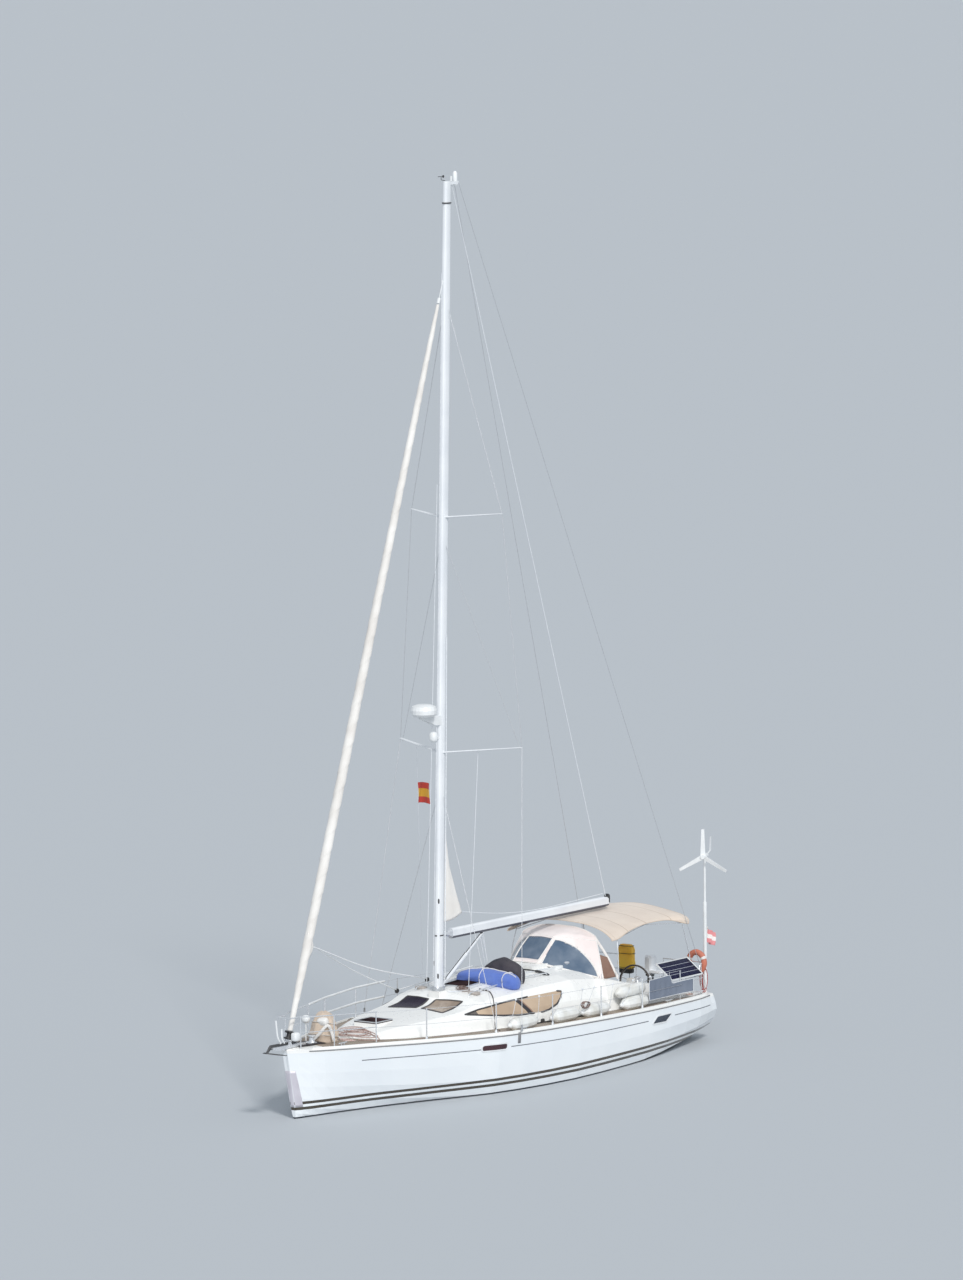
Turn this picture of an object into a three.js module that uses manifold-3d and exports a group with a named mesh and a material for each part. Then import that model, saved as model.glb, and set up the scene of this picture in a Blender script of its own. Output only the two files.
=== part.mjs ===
// A cruising sailing yacht of about 13 m with a raised deck saloon, afloat with her sails furled.
// Millimetres. +X is forward, +Y is to port and +Z is up. The origin lies on the waterline,
// on the centreline and amidships.

import * as THREE from 'three';
import { mergeVertices } from 'three/addons/utils/BufferGeometryUtils.js';
import Module from 'manifold-3d';

const wasm = await Module();
wasm.setup();

// Driving dimensions

const GAP = 0.3;

// Where the bow leans forward and the transom leans forward with height, in mm per mm.
const STEM_LEAN = 0.212;
const TRANSOM_LEAN = 0.36;

// Heights on a section, as fractions from the canoe body's bottom to the deck edge.
const HEIGHTS = [0, 0.03, 0.09, 0.18, 0.32, 0.5, 0.7, 0.85, 1];

// Hull sections: half breadth and height of the deck edge, bottom of the canoe body,
// and the breadth at each of the heights above as a fraction of the deck's.
const SECTIONS = [
  { x: -6470, deck: 1560, sheer: 1010, keel: 20, full: [0, 0.25, 0.5, 0.7, 0.86, 0.96, 1.02, 1.02, 1] },
  { x: -5000, deck: 1790, sheer: 1040, keel: -200, full: [0, 0.3, 0.55, 0.74, 0.9, 0.975, 1.01, 1.01, 1] },
  { x: -3100, deck: 1980, sheer: 1090, keel: -430, full: [0, 0.36, 0.6, 0.78, 0.925, 0.98, 1, 1, 1] },
  { x: -800, deck: 2060, sheer: 1165, keel: -550, full: [0, 0.38, 0.62, 0.79, 0.93, 0.98, 0.995, 1, 1] },
  { x: 1200, deck: 1930, sheer: 1215, keel: -540, full: [0, 0.31, 0.53, 0.71, 0.87, 0.945, 0.975, 0.99, 1] },
  { x: 3100, deck: 1450, sheer: 1275, keel: -430, full: [0, 0.18, 0.35, 0.54, 0.73, 0.86, 0.93, 0.97, 1] },
  { x: 4600, deck: 880, sheer: 1330, keel: -240, full: [0, 0.15, 0.33, 0.5, 0.66, 0.8, 0.9, 0.955, 1] },
  { x: 5600, deck: 420, sheer: 1370, keel: -90, full: [0, 0.2, 0.4, 0.55, 0.68, 0.8, 0.9, 0.955, 1] },
  { x: 6040, deck: 60, sheer: 1385, keel: -10, full: [0.3, 0.5, 0.7, 0.8, 0.9, 0.95, 1, 1, 1] },
];
const SHELL_STATIONS = [
  -6470, -6250, -5900, -5400, -4800, -4100, -3300, -2500, -1600, -700, 200, 1000, 1700, 2400,
  3000, 3500, 4000, 4400, 4800, 5150, 5450, 5700, 5900, 6040,
];
const CAMBER = 45;
const DECK_LAYER = 60;

// The coachroof: half breadths at its foot and shoulder, heights at its shoulder and centre.
const COACHROOF = [
  { x: 4350, foot: 330, shoulder: 230, side: 1375, top: 1395 },
  { x: 3970, foot: 610, shoulder: 480, side: 1430, top: 1460 },
  { x: 3500, foot: 850, shoulder: 670, side: 1500, top: 1535 },
  { x: 2700, foot: 1080, shoulder: 860, side: 1550, top: 1590 },
  { x: 2050, foot: 1220, shoulder: 960, side: 1590, top: 1625 },
  { x: 1750, foot: 1270, shoulder: 1000, side: 1620, top: 1660 },
  { x: 1500, foot: 1310, shoulder: 1030, side: 1650, top: 1760 },
  { x: 1250, foot: 1345, shoulder: 1060, side: 1690, top: 1870 },
  { x: 500, foot: 1430, shoulder: 1150, side: 1750, top: 1935 },
  { x: -500, foot: 1490, shoulder: 1230, side: 1800, top: 1985 },
  { x: -1500, foot: 1520, shoulder: 1280, side: 1800, top: 2022 },
  { x: -2000, foot: 1530, shoulder: 1250, side: 1730, top: 2020 },
  { x: -2500, foot: 1530, shoulder: 1200, side: 1650, top: 2010 },
];
const ROOF_STATIONS = [
  4350, 4150, 3970, 3700, 3500, 3100, 2700, 2350, 2050, 1900, 1750, 1620, 1500, 1380, 1250, 900, 500, 0,
  -500, -1000, -1500, -2000, -2500,
];

// The cockpit coaming: its outer and inner faces at the foot, and its height.
const COAMING = [
  { x: -2350, outer: 1530, inner: 1120, top: 1760 },
  { x: -2600, outer: 1535, inner: 1120, top: 1740 },
  { x: -3200, outer: 1530, inner: 1130, top: 1600 },
  { x: -4000, outer: 1500, inner: 1170, top: 1460 },
  { x: -5000, outer: 1420, inner: 1210, top: 1340 },
  { x: -5650, outer: 1340, inner: 1230, top: 1140 },
];
const COAMING_STATIONS = [-2350, -2700, -3200, -3700, -4300, -5000, -5400, -5650];

const SEAT_HEIGHT = 930;
const SOLE_HEIGHT = 530;
const PLATFORM_HEIGHT = 380;
const WALL = 40;

const COCKPIT_HALF = 1250;
const BULKHEAD_X = -2500;
const COMPANIONWAY = { aft: BULKHEAD_X, fore: -1900, half: 300, sill: 1230 };
const HATCH_LEVEL = 2026;

const MAST_FOOT = { x: 1300, z: 1905 };
const MAST_HEAD = 18000;
const MAST_RAKE = THREE.MathUtils.degToRad(1.85);
const GOOSENECK = { x: 1105, z: 3000 };
const BOOM_END = -4560;
const HOUNDS = 15630;
const SPREADERS = {
  lower: { root: 6665, half: 1494, sweep: 670, rise: 125 },
  upper: { root: 11350, half: 1106, sweep: 442, rise: 85 },
};
const SHROUD_FOOT = { x: 1180, y: 1955, z: 1270 };
const LOWER_SHROUD_FOOT = { x: 1350, y: 1480, z: 1240 };

const RUDDER_STOCK_X = -5150;
const WHEEL = { x: -4560, y: 720, z: 1330, radius: 390 };
const WIND_POLE = { x: -6080, y: 1400, top: 3720 };
const WIND_HUB_HEIGHT = 3860;
const WIND_YAW = THREE.MathUtils.degToRad(20);
const WIND_ROTOR_RADIUS = 575;
const PROPELLER = { x: -2264.5, z: -950, radius: 230 };

// Materials

function paint(colour, roughness, metalness = 0) {
  return new THREE.MeshStandardMaterial({ color: colour, roughness, metalness });
}

const gelcoat = paint(0xf2f2ee, 0.3);
const deckWhite = paint(0xf0efe9, 0.5);
const antifouling = paint(0x2a3038, 0.8);
const castIron = paint(0x30353c, 0.7);
const alloy = paint(0xd4d6d8, 0.35, 0.8);
const stainless = paint(0xc4c7ca, 0.22, 1);
const bronze = paint(0x9a7a48, 0.4, 0.9);
const darkGlass = paint(0xb08a62, 0.15);
const smokedAcrylic = paint(0x2c2a2c, 0.15);
const sailcloth = paint(0xefebe0, 0.85);
const sprayCanvas = paint(0xece4da, 0.9);
const beigeCanvas = paint(0xdccbb4, 0.9);
const tanCanvas = paint(0xc8b096, 0.95);
const blackPlastic = paint(0x1b1c1e, 0.55);
const whitePlastic = paint(0xf3f3f0, 0.4);
const galvanised = paint(0x45484b, 0.6, 0.7);
const teak = paint(0x9c6b43, 0.7);
const blueCloth = paint(0x2f56b4, 0.85);
const orangeFoam = paint(0xd7583a, 0.8);
const yellowCloth = paint(0xe0b51e, 0.85);
const solarCells = paint(0x14182a, 0.2);

// Geometry helpers

const SIDES = [['port', 1], ['starboard', -1]];

const yacht = new THREE.Group();
yacht.name = 'sailing_yacht';

function at(x, y, z) {
  return new THREE.Vector3(x, y, z);
}

// A monotone cubic through one column of a table, so that the hull's lines are fair.
function fair(rows, column) {
  const sorted = [...rows].sort((a, b) => a.x - b.x);
  const xs = sorted.map((row) => row.x);
  const ys = sorted.map(column);
  const steps = xs.slice(1).map((x, i) => x - xs[i]);
  const slopes = steps.map((h, i) => (ys[i + 1] - ys[i]) / h);
  const bends = ys.map((_, i) => {
    if (i === 0) return slopes[0];
    if (i === ys.length - 1) return slopes[i - 1];
    if (slopes[i - 1] * slopes[i] <= 0) return 0;
    const before = 2 * steps[i] + steps[i - 1];
    const after = steps[i] + 2 * steps[i - 1];
    return (before + after) / (before / slopes[i - 1] + after / slopes[i]);
  });
  return (x) => {
    const clamped = THREE.MathUtils.clamp(x, xs[0], xs[xs.length - 1]);
    let i = xs.findIndex((edge, k) => k > 0 && clamped <= edge) - 1;
    if (i < 0) i = 0;
    const h = steps[i];
    const t = (clamped - xs[i]) / h;
    const near = (1 + 2 * t) * (1 - t) ** 2 * ys[i] + t * (1 - t) ** 2 * h * bends[i];
    return near + t * t * (3 - 2 * t) * ys[i + 1] + t * t * (t - 1) * h * bends[i + 1];
  };
}

// Closes a row of rings into one solid, facing outwards. Each end is closed by a fan about its
// middle, or on a folded ring, whose second half runs back beside the first, by a strip across.
function skin(rings, folded = false) {
  const count = rings[0].length;
  const points = rings.flat();
  const middle = (ring) => ring.reduce((sum, p) => sum.add(p), at(0, 0, 0)).divideScalar(count);
  const first = points.length;
  const lastRing = (rings.length - 1) * count;
  if (!folded) points.push(middle(rings[0]), middle(rings[rings.length - 1]));
  const faces = [];
  for (let k = 0; k < count; k++) {
    const next = (k + 1) % count;
    for (let i = 0; i + 1 < rings.length; i++) {
      const a = i * count + k;
      const b = i * count + next;
      faces.push([a, b, b + count], [a, b + count, a + count]);
    }
    if (!folded) faces.push([first, next, k], [first + 1, lastRing + k, lastRing + next]);
  }
  for (let k = 0; folded && k + 1 < count / 2; k++) {
    const [a, b, c, d] = [k, k + 1, count - 2 - k, count - 1 - k];
    faces.push([a, c, b], [a, d, c]);
    faces.push([lastRing + a, lastRing + b, lastRing + c], [lastRing + a, lastRing + c, lastRing + d]);
  }
  const volume = faces.reduce(
    (sum, [a, b, c]) => sum + points[a].dot(points[b].clone().cross(points[c])), 0);
  const outward = volume < 0 ? faces.map(([a, b, c]) => [a, c, b]) : faces;
  const geometry = new THREE.BufferGeometry();
  geometry.setAttribute('position',
    new THREE.Float32BufferAttribute(points.flatMap((p) => [p.x, p.y, p.z]), 3));
  geometry.setIndex(outward.flat());
  return geometry;
}

// A three.js geometry as a solid for joining and cutting.
function solid(geometry) {
  const bare = new THREE.BufferGeometry();
  bare.setAttribute('position', geometry.getAttribute('position').clone());
  if (geometry.index) bare.setIndex(geometry.index.clone());
  const merged = mergeVertices(bare, 1e-3);
  return new wasm.Manifold(new wasm.Mesh({
    numProp: 3,
    vertProperties: merged.getAttribute('position').array,
    triVerts: new Uint32Array(merged.index.array),
  }));
}

function geometryOf(body) {
  const mesh = body.getMesh();
  const geometry = new THREE.BufferGeometry();
  geometry.setAttribute('position', new THREE.BufferAttribute(new Float32Array(mesh.vertProperties), 3));
  geometry.setIndex(new THREE.BufferAttribute(new Uint32Array(mesh.triVerts), 1));
  return geometry;
}

function union(...bodies) {
  return bodies.reduce((sum, body) => sum.add(body));
}

function mainBody(body) {
  return body.decompose().sort((a, b) => b.volume() - a.volume())[0];
}

function block(x0, x1, y0, y1, z0, z1) {
  const geometry = new THREE.BoxGeometry(x1 - x0, y1 - y0, z1 - z0);
  geometry.translate((x0 + x1) / 2, (y0 + y1) / 2, (z0 + z1) / 2);
  return solid(geometry);
}

// A wire, tube or rod along a row of points, mitred at each bend; the radius may vary.
function wireGeometry(points, radius, sides = 6) {
  const radii = Array.isArray(radius) ? radius : points.map(() => radius);
  const chord = points[points.length - 1].clone().sub(points[0]).normalize();
  const upright = Math.abs(chord.z) > 0.8 ? at(1, 0, 0) : at(0, 0, 1);
  const rings = points.map((point, i) => {
    const before = i > 0 ? point.clone().sub(points[i - 1]).normalize() : at(0, 0, 0);
    const after = i + 1 < points.length ? points[i + 1].clone().sub(point).normalize() : at(0, 0, 0);
    const along = before.add(after).normalize();
    const side = along.clone().cross(upright).normalize();
    const other = side.clone().cross(along).normalize();
    return Array.from({ length: sides }, (_, k) => {
      const angle = ((k + 0.5) / sides) * 2 * Math.PI;
      return point.clone()
        .addScaledVector(side, radii[i] * Math.cos(angle))
        .addScaledVector(other, radii[i] * Math.sin(angle));
    });
  });
  return skin(rings);
}

function wire(points, radius, sides) {
  return solid(wireGeometry(points, radius, sides));
}

function lathe(profile, sides) {
  const points = profile.map(([radius, height]) => new THREE.Vector2(radius, height));
  return new THREE.LatheGeometry(points, sides).rotateX(Math.PI / 2);
}

// Extrudes an outline of [x, z] pairs sideways, from one Y to another.
function profileAcross(outline, y0, y1) {
  const shape = new THREE.Shape(outline.map(([x, z]) => new THREE.Vector2(x, z)));
  const geometry = new THREE.ExtrudeGeometry(shape, { depth: y1 - y0, bevelEnabled: false, curveSegments: 8 });
  geometry.rotateX(Math.PI / 2);
  geometry.translate(0, y1, 0);
  return geometry;
}

function place(name, shape, material) {
  const geometry = shape.isBufferGeometry ? shape : geometryOf(shape);
  const mesh = new THREE.Mesh(geometry, material);
  mesh.name = name;
  yacht.add(mesh);
  return mesh;
}


// Hull lines

const deckHalf = fair(SECTIONS, (row) => row.deck);
const sheerHeight = fair(SECTIONS, (row) => row.sheer);
const keelHeight = fair(SECTIONS, (row) => row.keel);
const fullness = HEIGHTS.map((_, k) => fair(SECTIONS, (row) => row.full[k]));

function smoothStep(value, low, high) {
  return THREE.MathUtils.smoothstep(value, low, high);
}

// Where a point of the station that meets the water at x really lies, at a height.
function leant(x, z) {
  const stem = STEM_LEAN * smoothStep(x, 4200, 6040);
  const transom = TRANSOM_LEAN * (1 - smoothStep(x, -6470, -5400));
  return x + (stem + transom) * z;
}

// Half breadth of the hull at a station, at a fraction of its height.
function breadth(x, fraction) {
  const rows = HEIGHTS.map((height, k) => ({ x: height, value: fullness[k](x) }));
  return deckHalf(x) * fair(rows, (row) => row.value)(fraction);
}

function heightAt(x, fraction) {
  return keelHeight(x) + fraction * (sheerHeight(x) - keelHeight(x));
}

function deckHeight(x, y) {
  return sheerHeight(x) + CAMBER * (1 - Math.abs(y) / deckHalf(x));
}

// The hull below the deck edge, or below a line let down from it, closed by a cambered top.
function hullSolid(topDrop, inset = 0) {
  const rings = SHELL_STATIONS.map((x) => {
    const topFraction = 1 - topDrop / (sheerHeight(x) - keelHeight(x));
    const port = HEIGHTS.slice(1).map((height) => {
      const fraction = height * topFraction;
      const z = heightAt(x, fraction);
      return at(leant(x, z), Math.max(breadth(x, fraction) - inset, 4), z);
    });
    const low = keelHeight(x) + inset;
    const top = port[port.length - 1];
    const starboard = port.map((p) => at(p.x, -p.y, p.z)).reverse();
    return [at(leant(x, low), 0, low), ...port, at(top.x, 0, top.z + CAMBER), ...starboard];
  });
  return solid(skin(rings));
}

// The deck's own thickness, a gap above the hull moulding.
function deckLayer() {
  const rings = SHELL_STATIONS.map((x) => {
    const low = sheerHeight(x) - DECK_LAYER + GAP;
    const high = sheerHeight(x);
    const lowHalf = breadth(x, (low - keelHeight(x)) / (high - keelHeight(x)));
    const half = deckHalf(x);
    return [
      at(leant(x, high), half, high), at(leant(x, high), 0, high + CAMBER), at(leant(x, high), -half, high),
      at(leant(x, low), -lowHalf, low), at(leant(x, low), 0, low + CAMBER), at(leant(x, low), lowHalf, low),
    ];
  });
  return solid(skin(rings, true));
}

// Coachroof and coamings

const roofFoot = fair(COACHROOF, (row) => row.foot);
const roofShoulder = fair(COACHROOF, (row) => row.shoulder);
const roofSide = fair(COACHROOF, (row) => row.side);
const roofTop = fair(COACHROOF, (row) => row.top);

function roofRing(x, inset) {
  const base = sheerHeight(x) + 5;
  const foot = roofFoot(x) - inset;
  const shoulder = roofShoulder(x) - inset;
  const side = roofSide(x) - inset * 0.6;
  const top = roofTop(x) - inset;
  const rise = top - side;
  const port = [
    at(x, foot, base),
    at(x, foot - (foot - shoulder) * 0.3, base + (side - base) * 0.5),
    at(x, shoulder + 20, side - 35),
    at(x, shoulder - 60, side + rise * 0.25),
    at(x, shoulder * 0.72, side + rise * 0.6),
    at(x, shoulder * 0.38, side + rise * 0.9),
  ];
  return [...port, at(x, 0, top), ...port.map((p) => at(p.x, -p.y, p.z)).reverse()];
}

function roofSolid(inset = 0) {
  return solid(skin(ROOF_STATIONS.map((x) => roofRing(x, inset))));
}

const coamingOuter = fair(COAMING, (row) => row.outer);
const coamingInner = fair(COAMING, (row) => row.inner);
const coamingTop = fair(COAMING, (row) => row.top);

function coaming(side) {
  const rings = COAMING_STATIONS.map((x) => {
    const base = sheerHeight(x) + 5;
    const outer = coamingOuter(x);
    const inner = coamingInner(x);
    const top = coamingTop(x);
    const slope = Math.min(150, (outer - inner) * 0.4);
    return [
      at(x, side * outer, base), at(x, side * (outer - slope * 0.6), base + (top - base) * 0.6),
      at(x, side * (outer - slope), top - 15), at(x, side * (outer - slope - 40), top),
      at(x, side * inner, top), at(x, side * inner, base),
    ];
  });
  return solid(skin(rings));
}

// Hull, deck moulding and cockpit

// The room inside the cockpit: seats, footwell, the space at the wheels, the gate and the platform.
function cockpitRoom() {
  const sky = 3200;
  return union(
    block(-4050, BULKHEAD_X, -1080, 1080, SEAT_HEIGHT, sky),
    block(-4050, BULKHEAD_X - 150, -600, 600, SOLE_HEIGHT, sky),
    block(-5300, -4000, -1170, 1170, SOLE_HEIGHT, sky),
    block(-5850, -5250, -330, 330, SOLE_HEIGHT, sky),
    block(-7000, -5790, -950, 950, PLATFORM_HEIGHT, sky),
  );
}

// The well in the hull and deck that the cockpit moulding is let into.
function cockpitWell(clearance) {
  return block(-7000, BULKHEAD_X + WALL + clearance, -COCKPIT_HALF - clearance, COCKPIT_HALF + clearance,
    PLATFORM_HEIGHT - WALL - clearance, 3200);
}

function companionwayRecess() {
  const { aft, fore, half, sill } = COMPANIONWAY;
  return block(aft - 100, fore, -half, half, sill, 2600);
}

// The long side window, as an opening seen square on.
const SIDE_WINDOW = [
  [1830, 1566], [1400, 1624], [700, 1680], [-100, 1710], [-900, 1712], [-1060, 1694],
  [-980, 1590], [-760, 1480], [-480, 1405], [-250, 1385], [500, 1415], [1200, 1488],
];

function windowPrism(side, grow) {
  const centre = [500, 1560];
  const outline = SIDE_WINDOW.map(([x, z]) => {
    const away = new THREE.Vector2(x - centre[0], z - centre[1]);
    const longer = away.clone().setLength(away.length() + grow);
    return [centre[0] + longer.x, centre[1] + longer.y];
  });
  return solid(side > 0 ? profileAcross(outline, 700, 1700) : profileAcross(outline, -1700, -700));
}

const PANE_DEPTH = 16;
const roofInside = roofSolid(PANE_DEPTH);
const roofUnderPane = roofSolid(PANE_DEPTH + GAP);
const roofWhole = roofSolid(0);

function pane(prism) {
  return roofWhole.intersect(prism).subtract(roofInside);
}

function rebate(prism) {
  return roofSolid(-5).intersect(prism).subtract(roofUnderPane);
}

function toeRail(side) {
  const stations = [-5950, -5000, -4000, -2900, -1800, -700, 400, 1400, 2300, 3100, 3900, 4600, 5200, 5650];
  const rings = stations.map((x) => {
    const outer = deckHalf(x) - 12;
    const inner = outer - 40;
    const low = sheerHeight(x) - 15;
    const high = sheerHeight(x) + 42;
    const line = (y, z) => at(leant(x, sheerHeight(x)), side * y, z);
    return [line(outer, low), line(outer - 5, high), line(inner + 5, high), line(inner, low)];
  });
  return solid(skin(rings));
}

function hatchGarage() {
  const { aft, fore, half } = COMPANIONWAY;
  const cover = block(fore + 50, fore + 610, -430, 430, 1900, HATCH_LEVEL + 58);
  const slot = block(fore - 50, fore + 580, -half - 55, half + 55, HATCH_LEVEL, HATCH_LEVEL + 34);
  const rails = SIDES.map(([, side]) => {
    const [inner, outer] = [side * half, side * (half + 60)];
    return block(aft, fore + 60, Math.min(inner, outer), Math.max(inner, outer), 1940, HATCH_LEVEL);
  });
  return union(cover, ...rails).subtract(slot);
}

const FORE_HATCH = { x: 3470, half: 270, seat: 1570, thickness: 28 };

function foreHatchPlinth() {
  const { x, half, seat } = FORE_HATCH;
  return block(x - half, x + half, -half, half, 1400, seat);
}

function foreHatchRecess() {
  const { x, half } = FORE_HATCH;
  const inside = half - 55;
  return block(x - inside, x + inside, -inside, inside, 1440, 1800);
}

function helmConsole(side) {
  const y = side * WHEEL.y;
  const rings = [[SOLE_HEIGHT - 5, 130, 90], [1150, 110, 75], [1380, 120, 85], [1470, 110, 70]].map(
    ([z, deep, wide]) => [
      at(-4350 + deep / 2 - (z - 530) * 0.03, y - wide, z), at(-4350 + deep / 2 - (z - 530) * 0.03, y + wide, z),
      at(-4450, y + wide, z), at(-4450, y - wide, z),
    ]);
  return solid(skin(rings));
}

const hullWhole = hullSolid(0);
const deckAndGap = union(deckLayer(), deckLayer().translate([0, 0, GAP]), toeRail(1), toeRail(-1));

// The bearing under the hull that the rudder's stock turns in.
const RUDDER_BEARING = { radius: 62, low: -232 };

const deck = union(deckLayer(), toeRail(1), toeRail(-1)).subtract(cockpitWell(0));

const rudderBearing = solid(
  new THREE.CylinderGeometry(RUDDER_BEARING.radius, RUDDER_BEARING.radius, 200, 16).rotateX(Math.PI / 2)
    .translate(RUDDER_STOCK_X, 0, RUDDER_BEARING.low + 100));
const hull = mainBody(union(hullSolid(DECK_LAYER), rudderBearing).subtract(cockpitWell(0))
  .subtract(deck.translate([0, 0, -GAP])));

function coachroof() {
  const mastStep = block(MAST_FOOT.x - 190, MAST_FOOT.x + 170, -130, 130, 1700, MAST_FOOT.z);
  let roof = union(roofWhole, mastStep, foreHatchPlinth());
  roof = roof.subtract(companionwayRecess()).subtract(foreHatchRecess());
  roof = union(roof, hatchGarage());
  for (const [, side] of SIDES) roof = roof.subtract(rebate(windowPrism(side, GAP)));
  return mainBody(roof.subtract(deckAndGap));
}

// The cockpit moulding: floors, seats and lockers in one with the coamings and the helm consoles.
function cockpit() {
  const below = cockpitWell(-GAP).intersect(hullWhole);
  const ahead = block(BULKHEAD_X - GAP, 0, -2000, 2000, 1000, 2400);
  const sides = union(coaming(1), coaming(-1)).subtract(deckAndGap.subtract(cockpitWell(0))).subtract(ahead);
  const underRoof = roofWhole.translate([0, 0, -GAP]);
  return union(union(below, sides).subtract(cockpitRoom()), helmConsole(1), helmConsole(-1)).subtract(underRoof);
}

place('hull', hull, gelcoat);
place('deck_moulding', deck, deckWhite);
const roof = coachroof();
place('coachroof', roof, deckWhite);
const tub = mainBody(cockpit());
place('cockpit', tub, deckWhite);

// What stands on the deck is trimmed to it, a gap above it, and its stub inside the deck is dropped.
const moulding = union(deck, roof, tub);
const mouldingAndGap = moulding.add(moulding.translate([0, 0, GAP]));

function onDeck(body) {
  return mainBody(body.subtract(mouldingAndGap));
}

for (const [word, side] of SIDES) {
  place(`side_window_${word}`, pane(windowPrism(side, 0)), darkGlass);
}

// Hatches

{
  const { aft, fore, half, sill } = COMPANIONWAY;
  const sheet = block(aft - 10, fore + 30, -half - 45, half + 45, HATCH_LEVEL + GAP, HATCH_LEVEL + 26);
  place('companion_hatch', sheet, smokedAcrylic);
  place('drop_board', block(aft + 5, aft + 30, GAP - half, half - GAP, sill + GAP, HATCH_LEVEL - 5), smokedAcrylic);
}
{
  const { x, half, seat, thickness } = FORE_HATCH;
  place('fore_hatch', block(x - half, x + half, -half, half, seat + GAP, seat + GAP + thickness), smokedAcrylic);
}

// Keel, rudder and drive

// A fin of foil sections, from rings of [leading edge, trailing edge, half thickness, height].
function fin(rows) {
  const rings = rows.map(([nose, tail, half, z]) => {
    const chord = nose - tail;
    const line = [[0, 0], [0.06, 0.62], [0.3, 1], [0.6, 0.7], [1, 0.04]];
    const port = line.map(([s, t]) => at(nose - s * chord, half * t, z));
    const starboard = line.slice(1).reverse().map(([s, t]) => at(nose - s * chord, -half * t, z));
    return [...port, ...starboard];
  });
  return skin(rings);
}

function keel() {
  const blade = solid(fin([
    [1350, -1350, 150, -420], [1200, -1250, 140, -800], [950, -1150, 120, -1500], [800, -1100, 110, -1950],
  ]));
  const bulb = lathe([
    [0, 0], [60, 40], [130, 220], [170, 600], [165, 1200], [120, 1900], [50, 2300], [0, 2420],
  ], 14);
  bulb.rotateY(-Math.PI / 2);
  bulb.scale(1, 1.25, 1);
  bulb.translate(1150, 0, -1960);
  return union(blade, solid(bulb));
}

const hullAndGap = hullSolid(0, -GAP);
place('keel', keel().subtract(hullAndGap), castIron);

// The blade's head stays below the hull's bottom, with room to turn under the bearing.
function rudder() {
  const blade = fin([
    [RUDDER_STOCK_X + 160, RUDDER_STOCK_X - 420, 55, -285], [RUDDER_STOCK_X + 150, RUDDER_STOCK_X - 390, 48, -900],
    [RUDDER_STOCK_X + 110, RUDDER_STOCK_X - 300, 32, -1750],
  ]);
  const top = RUDDER_BEARING.low - GAP;
  return union(solid(blade), wire([at(RUDDER_STOCK_X, 0, -400), at(RUDDER_STOCK_X, 0, top)], 40, 12));
}
place('rudder', rudder(), antifouling);

{
  const leg = solid(fin([
    [-1850, -2150, 60, -450], [-1880, -2130, 50, -700], [-1900, -2120, 40, -880],
  ]));
  const pod = wire([at(-1900, 0, -950), at(-2000, 0, -950), at(-2220, 0, -950)], [20, 75, 60], 12);
  const neck = block(-2120, -1950, -30, 30, -950, -860);
  place('saildrive_leg', union(leg, pod, neck).subtract(hullAndGap), castIron);
}

// Blades on a hub, made about +Z and turned to their shaft.
function blades(count, radius, root, tip, thickness, hub, pitch) {
  const parts = [];
  for (let k = 0; k < count; k++) {
    const shape = new THREE.Shape([
      new THREE.Vector2(-root / 2, 0), new THREE.Vector2(root / 2, 0),
      new THREE.Vector2(tip / 2, radius), new THREE.Vector2(-tip / 2, radius),
    ]);
    const blade = new THREE.ExtrudeGeometry(shape, { depth: thickness, bevelEnabled: false });
    blade.translate(0, 0, -thickness / 2);
    blade.rotateY(pitch);
    blade.rotateZ((k * 2 * Math.PI) / count);
    parts.push(solid(blade));
  }
  const boss = new THREE.CylinderGeometry(hub, hub, hub * 1.6, 14).rotateX(Math.PI / 2);
  return union(solid(boss), ...parts);
}

{
  const screw = geometryOf(blades(3, PROPELLER.radius, 90, 120, 12, 55, 0.6));
  screw.rotateZ(-Math.PI / 2);
  screw.rotateY(-Math.PI / 2);
  screw.translate(PROPELLER.x, 0, PROPELLER.z);
  place('propeller', screw, bronze);
}

// Mast, spreaders and standing rigging

function mastX(z) {
  return MAST_FOOT.x - (z - MAST_FOOT.z) * Math.tan(MAST_RAKE);
}

const MAST_SECTIONS = [
  [MAST_FOOT.z + GAP, 115, 72], [3000, 115, 72], [9000, 115, 72], [14500, 112, 70], [MAST_HEAD, 92, 58],
];

function mastSolid(grow) {
  const rings = MAST_SECTIONS.map(([z, long, wide]) => Array.from({ length: 16 }, (_, k) => {
    const angle = (k / 16) * 2 * Math.PI;
    const squarer = (value) => Math.sign(value) * Math.abs(value) ** 0.8;
    const x = mastX(z) + (long + grow) * squarer(Math.cos(angle));
    return at(x, (wide + grow) * squarer(Math.sin(angle)), z);
  }));
  return solid(skin(rings));
}

// The line the boom and its vang swing about lies a little behind the mast, and leans as it does.
function swingAxis(z) {
  return at(GOOSENECK.x - (z - GOOSENECK.z) * Math.tan(MAST_RAKE), 0, z);
}

// A shape made about the origin, set upright on the swing axis at a height.
function onSwingAxis(geometry, z) {
  const { x, y } = swingAxis(z);
  return solid(geometry.rotateY(-MAST_RAKE).translate(x, y, z));
}

// A pair of lugs on the mast, above and below a barrel that turns between them.
const LUG = { thickness: 18, half: 24, reach: 95 };

function lugs(z, barrelHalf) {
  const { thickness, half, reach } = LUG;
  return [1, -1].map((side) => {
    const lug = new THREE.BoxGeometry(reach, 2 * half, thickness);
    lug.translate(reach / 2 - half, 0, side * (barrelHalf + GAP + thickness / 2));
    return onSwingAxis(lug, z);
  });
}

function barrel(z, radius, half) {
  return onSwingAxis(new THREE.CylinderGeometry(radius, radius, 2 * half, 14).rotateX(Math.PI / 2), z);
}

const BOOM_BARREL = { z: GOOSENECK.z, radius: 18, half: 60 };
const VANG_BARREL = { z: 2030, radius: 20, half: 46 };

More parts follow.
